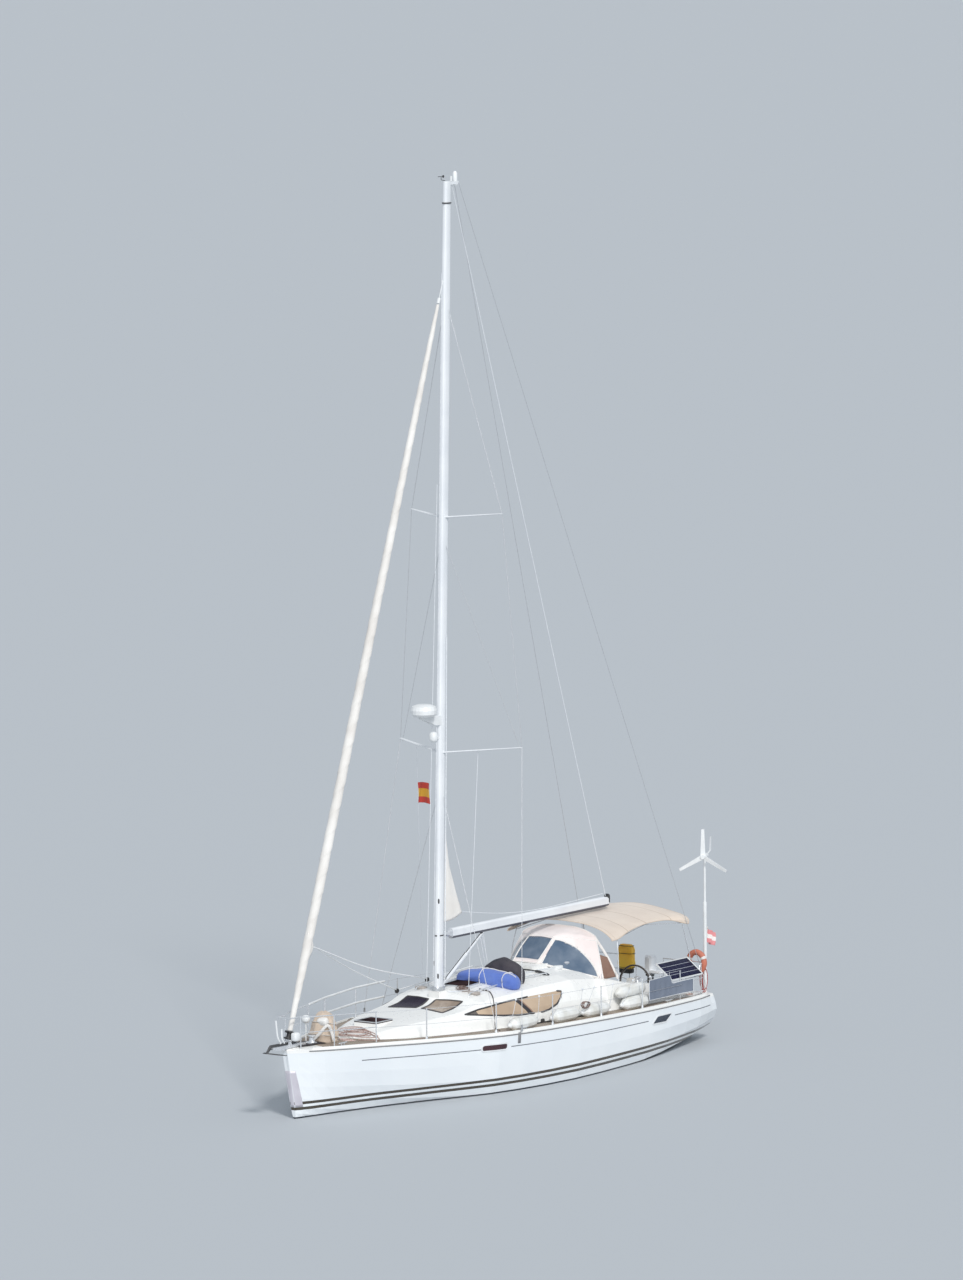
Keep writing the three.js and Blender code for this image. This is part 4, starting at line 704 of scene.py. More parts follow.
spar = finish("mast alloy", (0.82, 0.84, 0.86), (0.70, 0.73, 0.77), (0.30, 0.48), 1.2, 0.7, Metallic=0.08)
along, across, height = place_axes(spar)
centre = sums(spar, "ADD", along, sums(spar, "MULTIPLY", height, MAST_RAKE))
slot_side = sums(spar, "LESS_THAN", centre, MAST_FOOT[0] + MAST_RAKE * MAST_FOOT[1] - SLOT_BEHIND)
slot_line = sums(spar, "MULTIPLY", slot_side, within(spar, across, -SLOT_HALF, SLOT_HALF))
paint(spar, slot_line, (0.03, 0.03, 0.03))
dress(spar, "mast")
dress(finish("spreader alloy", (0.82, 0.84, 0.86), (0.7, 0.72, 0.75), (0.25, 0.42), 3.0, 0.6, Metallic=0.08),
      "spreader_lower_port", "spreader_lower_starboard", "spreader_upper_port", "spreader_upper_starboard")
boom_alloy = finish("boom alloy", (0.84, 0.86, 0.88), (0.73, 0.75, 0.79), (0.30, 0.48), 1.5, 0.7,
                    Metallic=0.06)
dress(spar, "boom_vang")
# Below a set height the boom is painted dark blue-grey: painted shade on its underside.
paint(boom_alloy, sums(boom_alloy, "LESS_THAN", place_axes(boom_alloy)[2], BOOM_SHADE_LEVEL), (0.085, 0.085, 0.11))
dress(boom_alloy, "boom")
wire = finish("stainless wire", (0.66, 0.67, 0.69), (0.5, 0.51, 0.52), (0.25, 0.45), 20.0, 0.6, Metallic=0.8)
dress(wire, "cap_shroud_port", "cap_shroud_starboard", "lower_shroud_port", "lower_shroud_starboard",
      "backstay_port", "backstay_starboard")
dress(steel, "gooseneck", "guard_rail_port", "guard_rail_starboard", "pulpit", "pushpit_port",
      "pushpit_starboard", "bimini_frame", "bow_roller", "windlass", "helm_wheel_port", "helm_wheel_starboard")
black_plastic = finish("black nylon", (0.020, 0.020, 0.022), (0.06, 0.06, 0.06), (0.35, 0.6), 8.0, 0.6)
white_plastic = finish("white moulded plastic", (0.80, 0.82, 0.83), (0.68, 0.69, 0.69),
                       (0.25, 0.45), 4.0, 0.6)
dress(black_plastic, "furling_drum")
dress(white_plastic, "forestay_head")

turn = round_angles(28)
oval = np.stack([MAST_LONG * np.cos(turn), MAST_WIDE * np.sin(turn), 0 * turn], -1)
bands = [loft(np.stack([oval + mast_at(level + rise) for rise in (-BAND_HALF, BAND_HALF)]))
         for level in BAND_LEVELS]
piece("mast_bands", bands, "yacht_body", black_trim)
collar = np.stack([0.16 * np.cos(turn), 0.115 * np.sin(turn), 0 * turn], -1)
collar = loft(np.stack([collar * wide + mast_at(MAST_FOOT[1] + 0.004 + rise) for wide, rise in COLLAR_STEPS]))
piece("mast_collar", [collar], "yacht_body", alloy)
exits = [pillow(mast_at(level, 0.088) + (0, 0.040 * hand, 0), (0.016, 0.020, 0.055), 0.6, 11, 16)
         for hand, level in EXITS]
piece("halyard_exits", exits, "yacht_body", black_trim)

top = mast_at(18.0)
light_stand = np.array([top + (-0.27, 0, rise) for rise in (-0.09, -0.06, 0.15, 0.19)])
masthead = [
    tube(light_stand, [0.038, 0.048, 0.048, 0.025], 16),
    tube(np.array([top + (-0.10, 0.03, 0.0), top + (-0.10, 0.03, 0.10)]), 0.022, 8),
]
piece("masthead_light", masthead, "yacht_body", white_plastic)
vane = [
    tube(np.array([top + (0.02, -0.03, 0.01), top + (0.15, -0.03, 0.03), top + (0.15, -0.03, 0.09)]),
         0.006, 8),
    tube(np.array([top + (0.07, -0.03, 0.095), top + (0.25, -0.03, 0.095)]), [0.004, 0.007], 8),
    pillow(top + (0.08, -0.03, 0.095), (0.035, 0.004, 0.026), 0.7, 9, 12),
]
piece("wind_vane", vane, "yacht_body", black_plastic)
light = [
    pillow(mast_at(7.00, 0.26), (0.085, 0.080, 0.105), 0.8),
    tube(np.array([mast_at(6.96, 0.10), mast_at(6.96, 0.24)]), 0.028, 8),
]
piece("steaming_light", light, "yacht_body", white_plastic)
dress(white_plastic, "radar_dome", "wind_head", "wind_rotor", "wind_pole")

low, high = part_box("spreader_lower_port")
tip = np.array((low.x + 0.03, high.y - 0.03, (low.z + high.z) / 2))
upper_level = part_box("spreader_upper_port")[0].z
lines = [tube(np.array([mast_at(upper_level - 0.55) + (0, 0.07, 0), tip]), WIRE, 6)]
piece("intermediate_shrouds", lines + mirrored(lines), "yacht_body", wire)
rope_white = finish("white braid", (0.80, 0.82, 0.84), (0.62, 0.65, 0.70), (0.6, 0.8), 26.0, 0.8, 0.001)
root = np.array((mast_at(tip[2])[0] * 0.5 + tip[0] * 0.5, -0.86, tip[2] - 0.02))
halyard_end = np.array((0.10, -1.28, 1.72))
port_root = root * (1, -0.77, 1)
flag_lines = [
    tube(np.array([root, halyard_end]), 0.004, 6),
    tube(np.array([port_root, (0.78, 0.36, 1.93)]), LINE, 6),
]
piece("flag_halyards", flag_lines, "yacht_body", rope_white)
halyards = [
    tube(np.array([mast_at(16.2, 0.14), mast_at(9.0, 0.17) + (0, 0.02, 0), mast_at(2.02, 0.19)]), LINE, 6),
    tube(np.array([mast_at(12.0, 0.10) + (0, -0.09, 0), mast_at(2.05, 0.16) + (0, -0.18, 0)]), LINE, 6),
    tube(np.array([mast_at(9.0, -0.02) + (0, 0.095, 0), mast_at(2.1, 0.02) + (0, 0.17, 0)]), 0.010, 6),
]
piece("halyard_tails", halyards, "yacht_body", rope_white)

# The topping lift's upper end lies on the boom's axis, so it swings with the boom and stays straight.
lift = np.linspace(mast_at(17.93, -0.16), (-4.50, 0.0, 3.112), 40)
piece("topping_lift", [tube(lift, 0.0065, 6)], "boom_body", rope_white)
tackle = [tube(np.linspace((x_low, 0.02, 2.04), (x_high, 0.0, 2.90), 16), LINE, 6)
          for x_low, x_high in ((-0.42, -0.16), (-0.30, -0.10), (-0.36, -0.22))]
mainsheet = piece("mainsheet", tackle, None, rope_white)
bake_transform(mainsheet)
blocks = [pillow((-0.16, 0, 2.885), (0.045, 0.03, 0.05), 0.8, 9, 12)]
piece("mainsheet_boom_block", blocks, "boom_body", black_plastic)
car = [
    pillow((-0.36, 0, 2.045), (0.06, 0.05, 0.035), 0.6, 9, 14),
    tube(np.array([(-0.36, -0.55, 2.012), (-0.36, 0.0, 2.030), (-0.36, 0.55, 2.012)]), 0.014, 8),
]
piece("mainsheet_traveller", car, "yacht_body", black_plastic)
fittings = [
    pillow((-4.56, 0, 3.045), (0.030, 0.064, 0.105), 0.5, 11, 18),
    pillow((0.60, 0, 2.965), (0.060, 0.020, 0.030), 0.6, 9, 12),
]
piece("boom_end_cap", fittings, "boom_body", black_plastic)
outhaul = [
    tube(curve([(0.47, 0.0, 3.385), (-0.9, 0.0, 3.19), (-2.3, 0.0, 3.12), (-4.40, 0.0, 3.17)], 40), LINE, 6)]
piece("outhaul", outhaul, "boom_body", rope_white)


# Sails.
# The headsail is rolled on its forestay with the pale sun strip outside and its corner showing; the
# mainsail's corner stands out of the mast's slot, held by the outhaul. Woven polyester.
STAY_FOOT = np.array((6.250, 0.0, 1.480))
STAY_HEAD = mast_at(16.050, 0.100)
ROLL = [(1.760, 0.050), (2.20, 0.060), (3.20, 0.092), (4.60, 0.100), (7.50, 0.098),
        (10.5, 0.086), (13.5, 0.068), (15.0, 0.050), (15.58, 0.030)]  # height, half thickness
ROLL_TURNS = 34
CLEW = np.array((5.370, 0.0, 3.290))
FORWARD_BLOCK, AFT_BLOCK = (0.92, -1.325, 1.745), (0.02, -1.235, 1.865)
SHEET, SHEET_TAIL = 0.0105, 0.009
SAIL_CORNER = np.array([
    (1.035, 5.110), (1.094, 3.250), (0.760, 3.200), (0.490, 3.370), (0.640, 3.700), (0.900, 4.350)])


def cloth_finish(name, colour, tint, weave=260.0, relief=0.0009, **sockets):
    """Material: worn cloth with a plain weave, two crossed waves of relief, and a soft sheen."""
    made = finish(name, colour, tint, (0.62, 0.85), 1.6, 0.8, **sockets)
    nodes, links = made.node_tree.nodes, made.node_tree.links
    ribs = []
    for direction in ("X", "Z"):
        rib = nodes.new("ShaderNodeTexWave")
        rib.bands_direction = direction
        rib.inputs["Scale"].default_value = weave
        rib.inputs["Distortion"].default_value = 1.5
        links.new(nodes.new("ShaderNodeTexCoord").outputs["Object"], rib.inputs["Vector"])
        ribs.append(rib.outputs["Fac"])
    soft = nodes.new("ShaderNodeTexNoise")
    soft.inputs["Scale"].default_value = 9.0
    soft.inputs["Detail"].default_value = 4.0
    links.new(nodes.new("ShaderNodeTexCoord").outputs["Object"], soft.inputs["Vector"])
    weft = nodes.new("ShaderNodeBump")
    weft.inputs["Distance"].default_value = relief
    links.new(sums(made, "MULTIPLY", ribs[0], ribs[1]), weft.inputs["Height"])
    crease = nodes.new("ShaderNodeBump")
    crease.inputs["Distance"].default_value = 0.014
    crease.inputs["Strength"].default_value = 0.5
    links.new(soft.outputs["Fac"], crease.inputs["Height"])
    links.new(weft.outputs["Normal"], crease.inputs["Normal"])
    links.new(crease.outputs["Normal"], nodes["Principled BSDF"].inputs["Normal"])
    return made


sailcloth = cloth_finish("sailcloth", (0.88, 0.86, 0.83), (0.82, 0.78, 0.73), 300.0, 0.0006, Sheen_Weight=0.2)
sun_strip = cloth_finish("sun strip cloth", (0.82, 0.80, 0.77), (0.66, 0.62, 0.58), 260.0, 0.0008,
                         Sheen_Weight=0.2)
share = np.linspace(0, 1, 420)
level = ROLL[0][0] + share * (ROLL[-1][0] - ROLL[0][0])
stay = STAY_FOOT + (STAY_HEAD - STAY_FOOT) * ((level - STAY_FOOT[2]) / (STAY_HEAD[2] - STAY_FOOT[2]))[:, None]
turn = round_angles(28)
wound = turn[None, :] - 2 * np.pi * ROLL_TURNS * share[:, None]
lap = (wound / (2 * np.pi)) % 1.0
ripple = 0.93 + 0.10 * lap + 0.015 * np.sin(3 * turn + 40 * share[:, None])
thick = np.interp(level, *np.array(ROLL).T)[:, None] * ripple
cross = np.stack([np.cos(turn)[None] * thick, np.sin(turn)[None] * thick, 0 * thick], -1)
genoa = piece("furled_headsail", [loft(stay[:, None] + cross)], "yacht_body", sun_strip)
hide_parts("furled_genoa")
at_clew = STAY_FOOT + (STAY_HEAD - STAY_FOOT) * ((CLEW[2] - STAY_FOOT[2]) / (STAY_HEAD[2] - STAY_FOOT[2]))
flap = patch((at_clew + (0.0, 0.03, 0.34), at_clew + (0.02, 0.02, -0.24),
              CLEW + (0.02, 0.0, -0.02), CLEW + (0, 0, 0.03)), 10, 10)
flap[..., 1] += 0.02 * np.sin(np.linspace(0, np.pi, 10))[None, :]
corner = panel("headsail_corner", flap, 0.006, "yacht_body", sailcloth)
sheets = [
    tube(curve([CLEW, (2.8, -0.60, 2.50), AFT_BLOCK], 30), SHEET, 6),
    tube(curve([CLEW, (3.2, -0.66, 2.48), FORWARD_BLOCK], 30), SHEET, 6),
    tube(np.array([AFT_BLOCK, (-1.60, -1.285, 1.915)]), SHEET_TAIL, 6),
    tube(np.array([FORWARD_BLOCK, (-1.60, -1.315, 1.880)]), SHEET_TAIL, 6),
]
sheet_braid = finish("sheet braid", (0.93, 0.94, 0.95), (0.80, 0.82, 0.84), (0.5, 0.7), 30.0, 0.6, 0.001)
piece("headsail_sheets", sheets, "yacht_body", sheet_braid)
blocks = [pillow((x, y, z - 0.015), (0.06, 0.03, 0.045), 0.8) for x, y, z in (AFT_BLOCK, FORWARD_BLOCK)]
piece("sheet_blocks", blocks, "yacht_body", black_plastic)

u = np.linspace(0, 1, 40)[:, None]
luff = SAIL_CORNER[0] + (SAIL_CORNER[1] - SAIL_CORNER[0]) * u
leech = np.stack([np.interp(u[:, 0], [0, 0.40, 0.78, 1.0], SAIL_CORNER[[0, 5, 4, 3]][:, k])
                  for k in (0, 1)], -1)
v = np.linspace(0, 1, 16)[None, :]
flat = luff[:, None] * (1 - v[..., None]) + leech[:, None] * v[..., None]
flat[..., 1] -= 0.035 * (u ** 6) * np.sin(np.pi * v)
grid = np.stack([flat[..., 0], 0.012 * np.sin(np.pi * v) * np.sin(np.pi * u), flat[..., 1]], -1)
clew = panel("mainsail_corner", grid, 0.004, "boom_body", sailcloth)
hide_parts("mainsail_clew")


# Guard rails' lower wires, their white covers and the bow's lights.
# A second wire runs through the stanchions at half height; on the starboard bow both wires have
# white plastic tube over them as far as the shrouds.
STANCHION_X = np.array([4.45, 3.40, 1.75, 0.10, -1.55, -3.10, -4.74])
LOWER_WIRE, UPPER_WIRE = 0.33, 0.64
edge_y = np.interp(STANCHION_X, DECK_X, DECK_HALF) - 0.095
edge_z = np.interp(STANCHION_X, DECK_X, SHEER)
lower = [tube(np.stack([STANCHION_X, edge_y, edge_z + LOWER_WIRE], -1), 0.0035, 6)]
piece("lower_guard_wires", lower + mirrored(lower), "yacht_body", wire)
covers = []
for rise, start in ((UPPER_WIRE, 4.40), (LOWER_WIRE, 3.25)):
    run_x = np.linspace(start, 0.62, 24)
    y, z = (np.interp(run_x, STANCHION_X[::-1], edge[::-1]) for edge in (edge_y, edge_z))
    covers.append(tube(np.stack([run_x, -y, z + rise], -1), 0.021, 10))
piece("guard_wire_covers", covers, "yacht_body", white_plastic)
bases = []
for x, y, z in zip(STANCHION_X[1:-1], edge_y[1:-1], edge_z[1:-1]):
    bases.append(tube(np.array([(x, y, z + 0.005), (x, y, z + 0.03), (x, y, z + 0.09)]),
                      [0.034, 0.030, 0.020], 12))
piece("stanchion_bases", bases + mirrored(bases), "yacht_body", steel)
bow_light = [
    pillow((6.16, 0.14, 1.640), (0.085, 0.070, 0.085), 0.5, 11, 20),
    tube(np.array([(5.26, -0.30, 1.36), (5.26, -0.30, 1.78)]), 0.014, 8),
    pillow((5.26, -0.30, 1.83), (0.085, 0.085, 0.080), 0.9),
    tube(curve([(6.58, 0.10, 1.56), (6.66, 0.09, 1.70), (6.70, 0.08, 2.02)], 14), 0.018, 8),
    tube(curve([(6.50, 0.13, 1.56), (6.56, 0.12, 1.66), (6.57, 0.12, 1.84)], 14), 0.018, 8),
]
piece("bow_lights", bow_light, "yacht_body", white_plastic)


# Anchor, windlass and lashed canvas on the foredeck.
# A galvanised anchor hangs in its roller; its chain runs to the windlass on its black rubber mat, partly
# painted shade round the windlass. A folded canvas sail cover stands lashed by the windlass.
CHAIN_WAY = [(5.66, 0.0, 1.470), (5.90, 0.0, 1.485), (6.20, 0.0, 1.475), (6.42, 0.0, 1.455)]
LINK_LONG, LINK_WIDE, LINK_BAR = 0.022, 0.011, 0.0045  # half length, half width and bar of a chain link
MAT = [(5.98, 0.12, ABOVE), (5.98, -0.12, ABOVE), (5.28, -0.20, ABOVE), (5.28, 0.20, ABOVE)]
BAG_X, BAG_Y = 4.990, -0.060
BAG = np.array([  # height, half length, half width
    (1.352, 0.225, 0.255), (1.42, 0.255, 0.285), (1.54, 0.272, 0.298), (1.66, 0.255, 0.268),
    (1.78, 0.215, 0.220), (1.88, 0.175, 0.175), (1.95, 0.110, 0.110), (1.968, 0.050, 0.050)])


def squared(angle, by):
    """Reach of a rounded square at an angle: (|cos|^p + |sin|^p)^(-1/p)."""
    return (np.abs(np.cos(angle)) ** by + np.abs(np.sin(angle)) ** by) ** (-1 / by)


galvanised = finish("galvanised steel", (0.10, 0.10, 0.105), (0.20, 0.20, 0.20), (0.45, 0.7), 9.0, 0.8, 0.001,
                    Metallic=0.6)
dress(galvanised, "anchor")
turn = round_angles(10)
links = []
for number, spot in enumerate(curve(CHAIN_WAY, 22)):
    flat, upright = LINK_WIDE * np.sin(turn) * (number % 2), LINK_WIDE * np.sin(turn) * (1 - number % 2)
    links.append(hoop(np.stack([LINK_LONG * np.cos(turn), flat, upright], -1) + spot, LINK_BAR, 5))
piece("anchor_chain", links, "yacht_body", galvanised)
# The mat's near black is partly painted shade round the windlass.
black_mat_and_shade = finish("rubber mat and painted shade", (0.022, 0.020, 0.024), (0.07, 0.055, 0.055), (0.6, 0.8), 14.0, 0.8, 0.002)
panel("windlass_mat_and_shade", drop(patch(MAT, 9, 12), "deck_moulding", 0.020), 0.012, "yacht_body", black_mat_and_shade)
tan_canvas = cloth_finish("tan canvas", (0.66, 0.54, 0.43), (0.42, 0.33, 0.27), 180.0, 0.0014,
                          Sheen_Weight=0.3)
turn = round_angles(72)
u = np.linspace(0, 1, 40)
rise, long_side, wide_side = (np.interp(u, np.linspace(0, 1, 8), BAG[:, k])[:, None] for k in (0, 1, 2))
up = u[:, None]
fold = (1 + 0.085 * np.sin(4 * turn + 5 * up) * up ** 0.5 + 0.045 * np.sin(9 * turn - 9 * up)
        + 0.03 * np.sin(26 * up))
square = squared(turn, 2.6)
points = np.stack([
    BAG_X + long_side * fold * square * np.cos(turn) * 0.94,
    BAG_Y + wide_side * fold * square * np.sin(turn) * 0.94,
    rise + 0.012 * np.sin(4 * turn + 1)], -1)
bag = piece("lashed_canvas", [loft(points)], "yacht_body", tan_canvas, 50)
smoother = bag.modifiers.new("smooth", "SUBSURF")
smoother.levels = smoother.render_levels = 1
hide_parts("foredeck_bag")
white_web = cloth_finish("white webbing", (0.80, 0.79, 0.77), (0.66, 0.64, 0.62), 400.0, 0.0006)
loops = []
for level, wide in ((1.50, 1.0), (1.74, 0.84)):
    x, y = BAG_X + 0.272 * wide * np.cos(turn), BAG_Y + 0.305 * wide * np.sin(turn)
    loops.append(hoop(np.stack([x, y, level + 0.05 * np.cos(turn)], -1), 0.016, 6, 0.4))
tail = curve([(5.33, -0.12, 1.40), (5.27, 0.03, 1.56), (5.18, 0.19, 1.73), (5.14, 0.30, 1.44)], 24)
loops.append(tube(tail, 0.030, 8, 0.5))
loops.append(pillow((5.14, 0.030, 1.79), (0.075, 0.115, 0.075), 0.5, 11, 18, (24, "Y")))
piece("canvas_straps", loops, "yacht_body", white_web)


# Strap over the coachroof.
# A black webbing strap, drawn tight from the roof beside the mast over the saloon window to the
# port side deck.
STRAP_WAY = [(0.68, 0.55), (0.68, 0.80), (0.95, 1.10), (1.22, 1.32), (1.36, 1.50), (1.39, 1.57)]
strap_way = curve([(x, y, ABOVE) for x, y in STRAP_WAY], 48)
strap_way[:, 2] = highest(strap_way, ("coachroof", "deck_moulding", "side_window_port"), 0.010)
webbing = finish("black webbing", (0.050, 0.045, 0.050), (0.12, 0.10, 0.10), (0.6, 0.8), 40.0, 0.9, 0.001)
piece("roof_strap", [tube(strap_way, 0.014, 8, 0.5)], "yacht_body", webbing)


# Sprayhood.
# Pale acrylic canvas sewn over two stainless hoops, with clear windows sewn in: one ahead and one
# long one each side; it clips to the coachroof and protects the companionway.
HOOD_FOOT = [(-1.650, 0.290, 2.095), (-2.690, 1.215, 1.700)]
HOOD_BROW = [(-2.300, 0.290, 2.592), (-2.855, 0.920, 2.485)]
HOOD_EDGE = [(-2.920, 0.290, 2.692), (-2.905, 0.650, 2.666), (-2.878, 0.900, 2.530)]
HOOD_CLOTH = (0.86, 0.78, 0.76)
HOOD_SHADE = (0.76, 0.67, 0.65)
NOSE_SHARE = 0.24  # the front pane's share of the way from the middle to the side
ARCH_HEIGHT, ARCH_START, ARCH_RUN, ARCH_END, ARCH_FOOT = 0.415, 0.20, 0.74, 0.938, 0.012
hood_cloth = cloth_finish("sprayhood canvas", HOOD_CLOTH, HOOD_SHADE, 220.0, 0.001, Sheen_Weight=0.3)
clear = finish("clear hood window", (0.075, 0.125, 0.20), (0.20, 0.25, 0.32), (0.06, 0.16), 2.2, 0.9,
               Alpha=0.80, Coat_Weight=0.2)


def hood_lines(t):
    """Foot, screen, brow, ridge and edge of the hood, as lerps and a curve, for t from 0 amidships to 1 at
    the side."""
    foot, brow, edge = (np.asarray(row, float) for row in (HOOD_FOOT, HOOD_BROW, HOOD_EDGE))
    nose = np.clip(t / NOSE_SHARE, 0, 1)[:, None]
    s = np.clip((t - NOSE_SHARE) / (1 - NOSE_SHARE), 0, 1)[:, None]
    low = foot[0] * (1 - s) + foot[1] * s
    high = brow[0] * (1 - s) + brow[1] * s + (0, 0, 0.06) * s * (1 - s)
    rim = edge[0] * (1 - s) ** 2 + edge[1] * 2 * s * (1 - s) + edge[2] * s ** 2
    mid = (low + high) / 2 + (0.018, 0.018, 0.012)
    ridge = (high + rim) / 2 + (0, 0, 0.016) * (1 - s)
    lines = np.stack([low, mid, high, ridge, rim], 1)
    lines[:, :, 1] *= nose
    lines[:, :, 2] += 0.006 * (1 - nose)
    return lines


def window_arch(away):
    """Height of the side window's arch, as a share of the hood's depth: a quarter ellipse along the hood."""
    past = np.clip(away - ARCH_START, 0, 1) / ARCH_RUN
    return ARCH_HEIGHT * np.sqrt(np.clip(1 - past ** 2, 0, 1))


t = np.concatenate([np.linspace(0, NOSE_SHARE, 9)[:-1], np.linspace(NOSE_SHARE, 1, 34)])
near = hood_lines(t)
whole = np.concatenate([(near * (1, -1, 1))[:0:-1], near])
count = len(whole)
middle = len(t) - 1
rows = np.stack([curve(whole[i], 33) for i in range(count)])
wave = np.abs(np.arange(count) - middle) / middle
rows[..., 2] -= 0.010 * np.sin(np.pi * np.linspace(0, 1, 33))[None] * np.sin(np.pi * 3 * wave)[:, None] ** 2
at = np.arange(count * 33).reshape(count, 33)
cells = np.stack([at[:-1, :-1], at[:-1, 1:], at[1:, 1:], at[1:, :-1]], -1)
part = (np.arange(count - 1) + 0.5 - middle)[:, None]
away = np.abs(part) / middle
deep = (np.arange(32)[None, :] + 0.5) / 32 + 0 * part
front_pane = (np.abs(part) < 8.0) & (deep > 0.06) & (deep < 0.44)
side_pane = (np.abs(part) > 10.0) & (deep > ARCH_FOOT) & (deep < window_arch(away))
glazed = front_pane | side_pane


def used(points, faces):
    """Only the points that the faces use, numbered afresh."""
    kept, again = np.unique(faces, return_inverse=True)
    return points[kept], [again.reshape(faces.shape)]


points = rows.reshape(-1, 3)
hood = piece("sprayhood_cloth", [used(points, cells[~glazed])], "yacht_body", hood_cloth, 60)
panes = piece("sprayhood_windows", [used(points, cells[glazed])], "yacht_body", clear, 60)
thickened(hood, 0.004)
thickened(panes, 0.003)
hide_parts("sprayhood")
seam = finish("white binding", (0.82, 0.80, 0.78), (0.70, 0.67, 0.64), (0.6, 0.8), 30.0, 0.7, 0.001)
binding = [tube(rows[:, 0], 0.010, 6), tube(rows[1:-1, -1], 0.012, 6),
           tube(rows[:, 15] + (0, 0, 0.003), 0.009, 6)]
for i in (middle - 8, middle + 8):
    binding.append(tube(rows[i, :16] + np.array((0.004, 0.002 * np.sign(i - middle), 0.004)), 0.014, 6))
binding += [tube(rows[0], 0.010, 6), tube(rows[-1], 0.010, 6)]
for hand in (-1, 1):
    runs = np.linspace(10.0 / middle, ARCH_END, 40)
    rim = np.concatenate([
        np.stack([runs, window_arch(runs)], -1), np.stack([runs, np.full(40, ARCH_FOOT)], -1)[::-1]])
    cell = middle + hand * rim[:, 0] * middle
    i, j = cell.astype(int), rim[:, 1] * 32
    k = j.astype(int)
    a, b = (cell - i)[:, None], (j - k)[:, None]
    near_row = (1 - a) * (1 - b) * rows[i, k] + a * (1 - b) * rows[i + 1, k]
    spot = near_row + (1 - a) * b * rows[i, k + 1] + a * b * rows[i + 1, k + 1]
    binding.append(hoop(spot, 0.018, 6))
piece("sprayhood_bindings", binding, "yacht_body", seam)
aft = rows[:, -1] - (0.0, 0.0, 0.020)
hoops = [tube(np.concatenate([[(-2.66, -1.19, 1.72)], aft[2:-2], [(-2.66, 1.19, 1.72)]]), 0.012, 8)]
piece("sprayhood_hoops", hoops, "yacht_body", steel)
brace = curve([(-2.885, 0.88, 2.50), (-3.05, 1.05, 2.12), (-3.20, 1.22, 1.66)], 14)
braces = [tube(brace, 0.030, 10, 0.45)]
piece("sprayhood_braces", braces + mirrored(braces), "yacht_body", seam)
SCREEN = [(-2.73, 1.180, 1.70), (-3.17, 1.195, 1.70), (-3.06, 1.065, 2.10), (-2.84, 1.010, 2.18)]
screen_cloth = cloth_finish("brown screen cloth", (0.23, 0.13, 0.095), (0.33, 0.21, 0.16), 240.0, 0.0008)
for side, hand in SIDES:
    grid = patch(np.array(SCREEN) * (1, hand, 1), 10, 10)
    screen = panel(f"side_screen_{side}", grid[:, ::hand], 0.004, "yacht_body", screen_cloth)


# Bimini.
# A pale canvas awning stretched over two stainless hoops above the helm, hemmed round its edge,
# with sewn pockets where the hoops pass.
BIMINI = {
    -2.860: [(1.310, 2.480), (1.270, 2.540), (1.050, 2.670), (0.700, 2.765), (0.350, 2.800), (0, 2.812)],
    -3.100: [(1.310, 2.500), (1.270, 2.560), (1.050, 2.690), (0.700, 2.785), (0.350, 2.820), (0, 2.832)],
    -3.650: [(1.225, 2.600), (1.190, 2.626), (1.030, 2.700), (0.700, 2.787), (0.350, 2.822), (0, 2.834)],
    -4.300: [(1.165, 2.652), (1.125, 2.672), (1.000, 2.718), (0.700, 2.790), (0.350, 2.830), (0, 2.840)],
    -5.000: [(1.200, 2.640), (1.175, 2.662), (1.060, 2.712), (0.730, 2.785), (0.350, 2.835), (0, 2.850)],
    -5.450: [(1.310, 2.530), (1.305, 2.620), (1.180, 2.700), (0.776, 2.776), (0.350, 2.835), (0, 2.856)],
    -5.620: [(1.310, 2.500), (1.300, 2.590), (1.160, 2.670), (0.760, 2.748), (0.350, 2.806), (0, 2.826)],
}
BIMINI_SEAMS, SEAM_HALF = (0.09, 0.30, 0.50, 0.70, 0.94), 0.0035  # shares of the cloth's length
bimini_cloth = cloth_finish("bimini canvas", (0.76, 0.65, 0.55), (0.66, 0.55, 0.46), 200.0, 0.001,
                            Sheen_Weight=0.3)
run = place_axes(bimini_cloth, uv="chart")
for centre in BIMINI_SEAMS:
    paint(bimini_cloth, within(bimini_cloth, run[0], centre - SEAM_HALF, centre + SEAM_HALF),
          (0.52, 0.42, 0.33))
arcs = [[(x, y, z) for y, z in half[:-1]] + [(x, -y, z) for y, z in half[::-1]] for x, half in BIMINI.items()]
arcs = np.array([curve(arc, 61) for arc in arcs])
top_grid = np.stack([curve(arcs[:, k], 57) for k in range(61)], 1)
lengthwise = np.linspace(0, 1, 57)[:, None]
top_grid[..., 2] -= 0.010 * np.sin(np.pi * 3 * lengthwise) ** 2 * np.sin(np.pi * np.linspace(0, 1, 61))[None]
awning = panel("bimini_cloth", top_grid, 0.004, "yacht_body", bimini_cloth)
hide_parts("bimini")
hem_finish = cloth_finish("bimini hem", (0.66, 0.55, 0.45), (0.54, 0.45, 0.37), 200.0, 0.001)


def hemmed(grid, radius):
    """Bars along the four edges of a grid of points."""
    return [tube(edge, radius, 6) for edge in (grid[0], grid[-1], grid[:, 0], grid[:, -1])]


piece("bimini_hem", hemmed(top_grid, 0.009), "yacht_body", hem_finish)


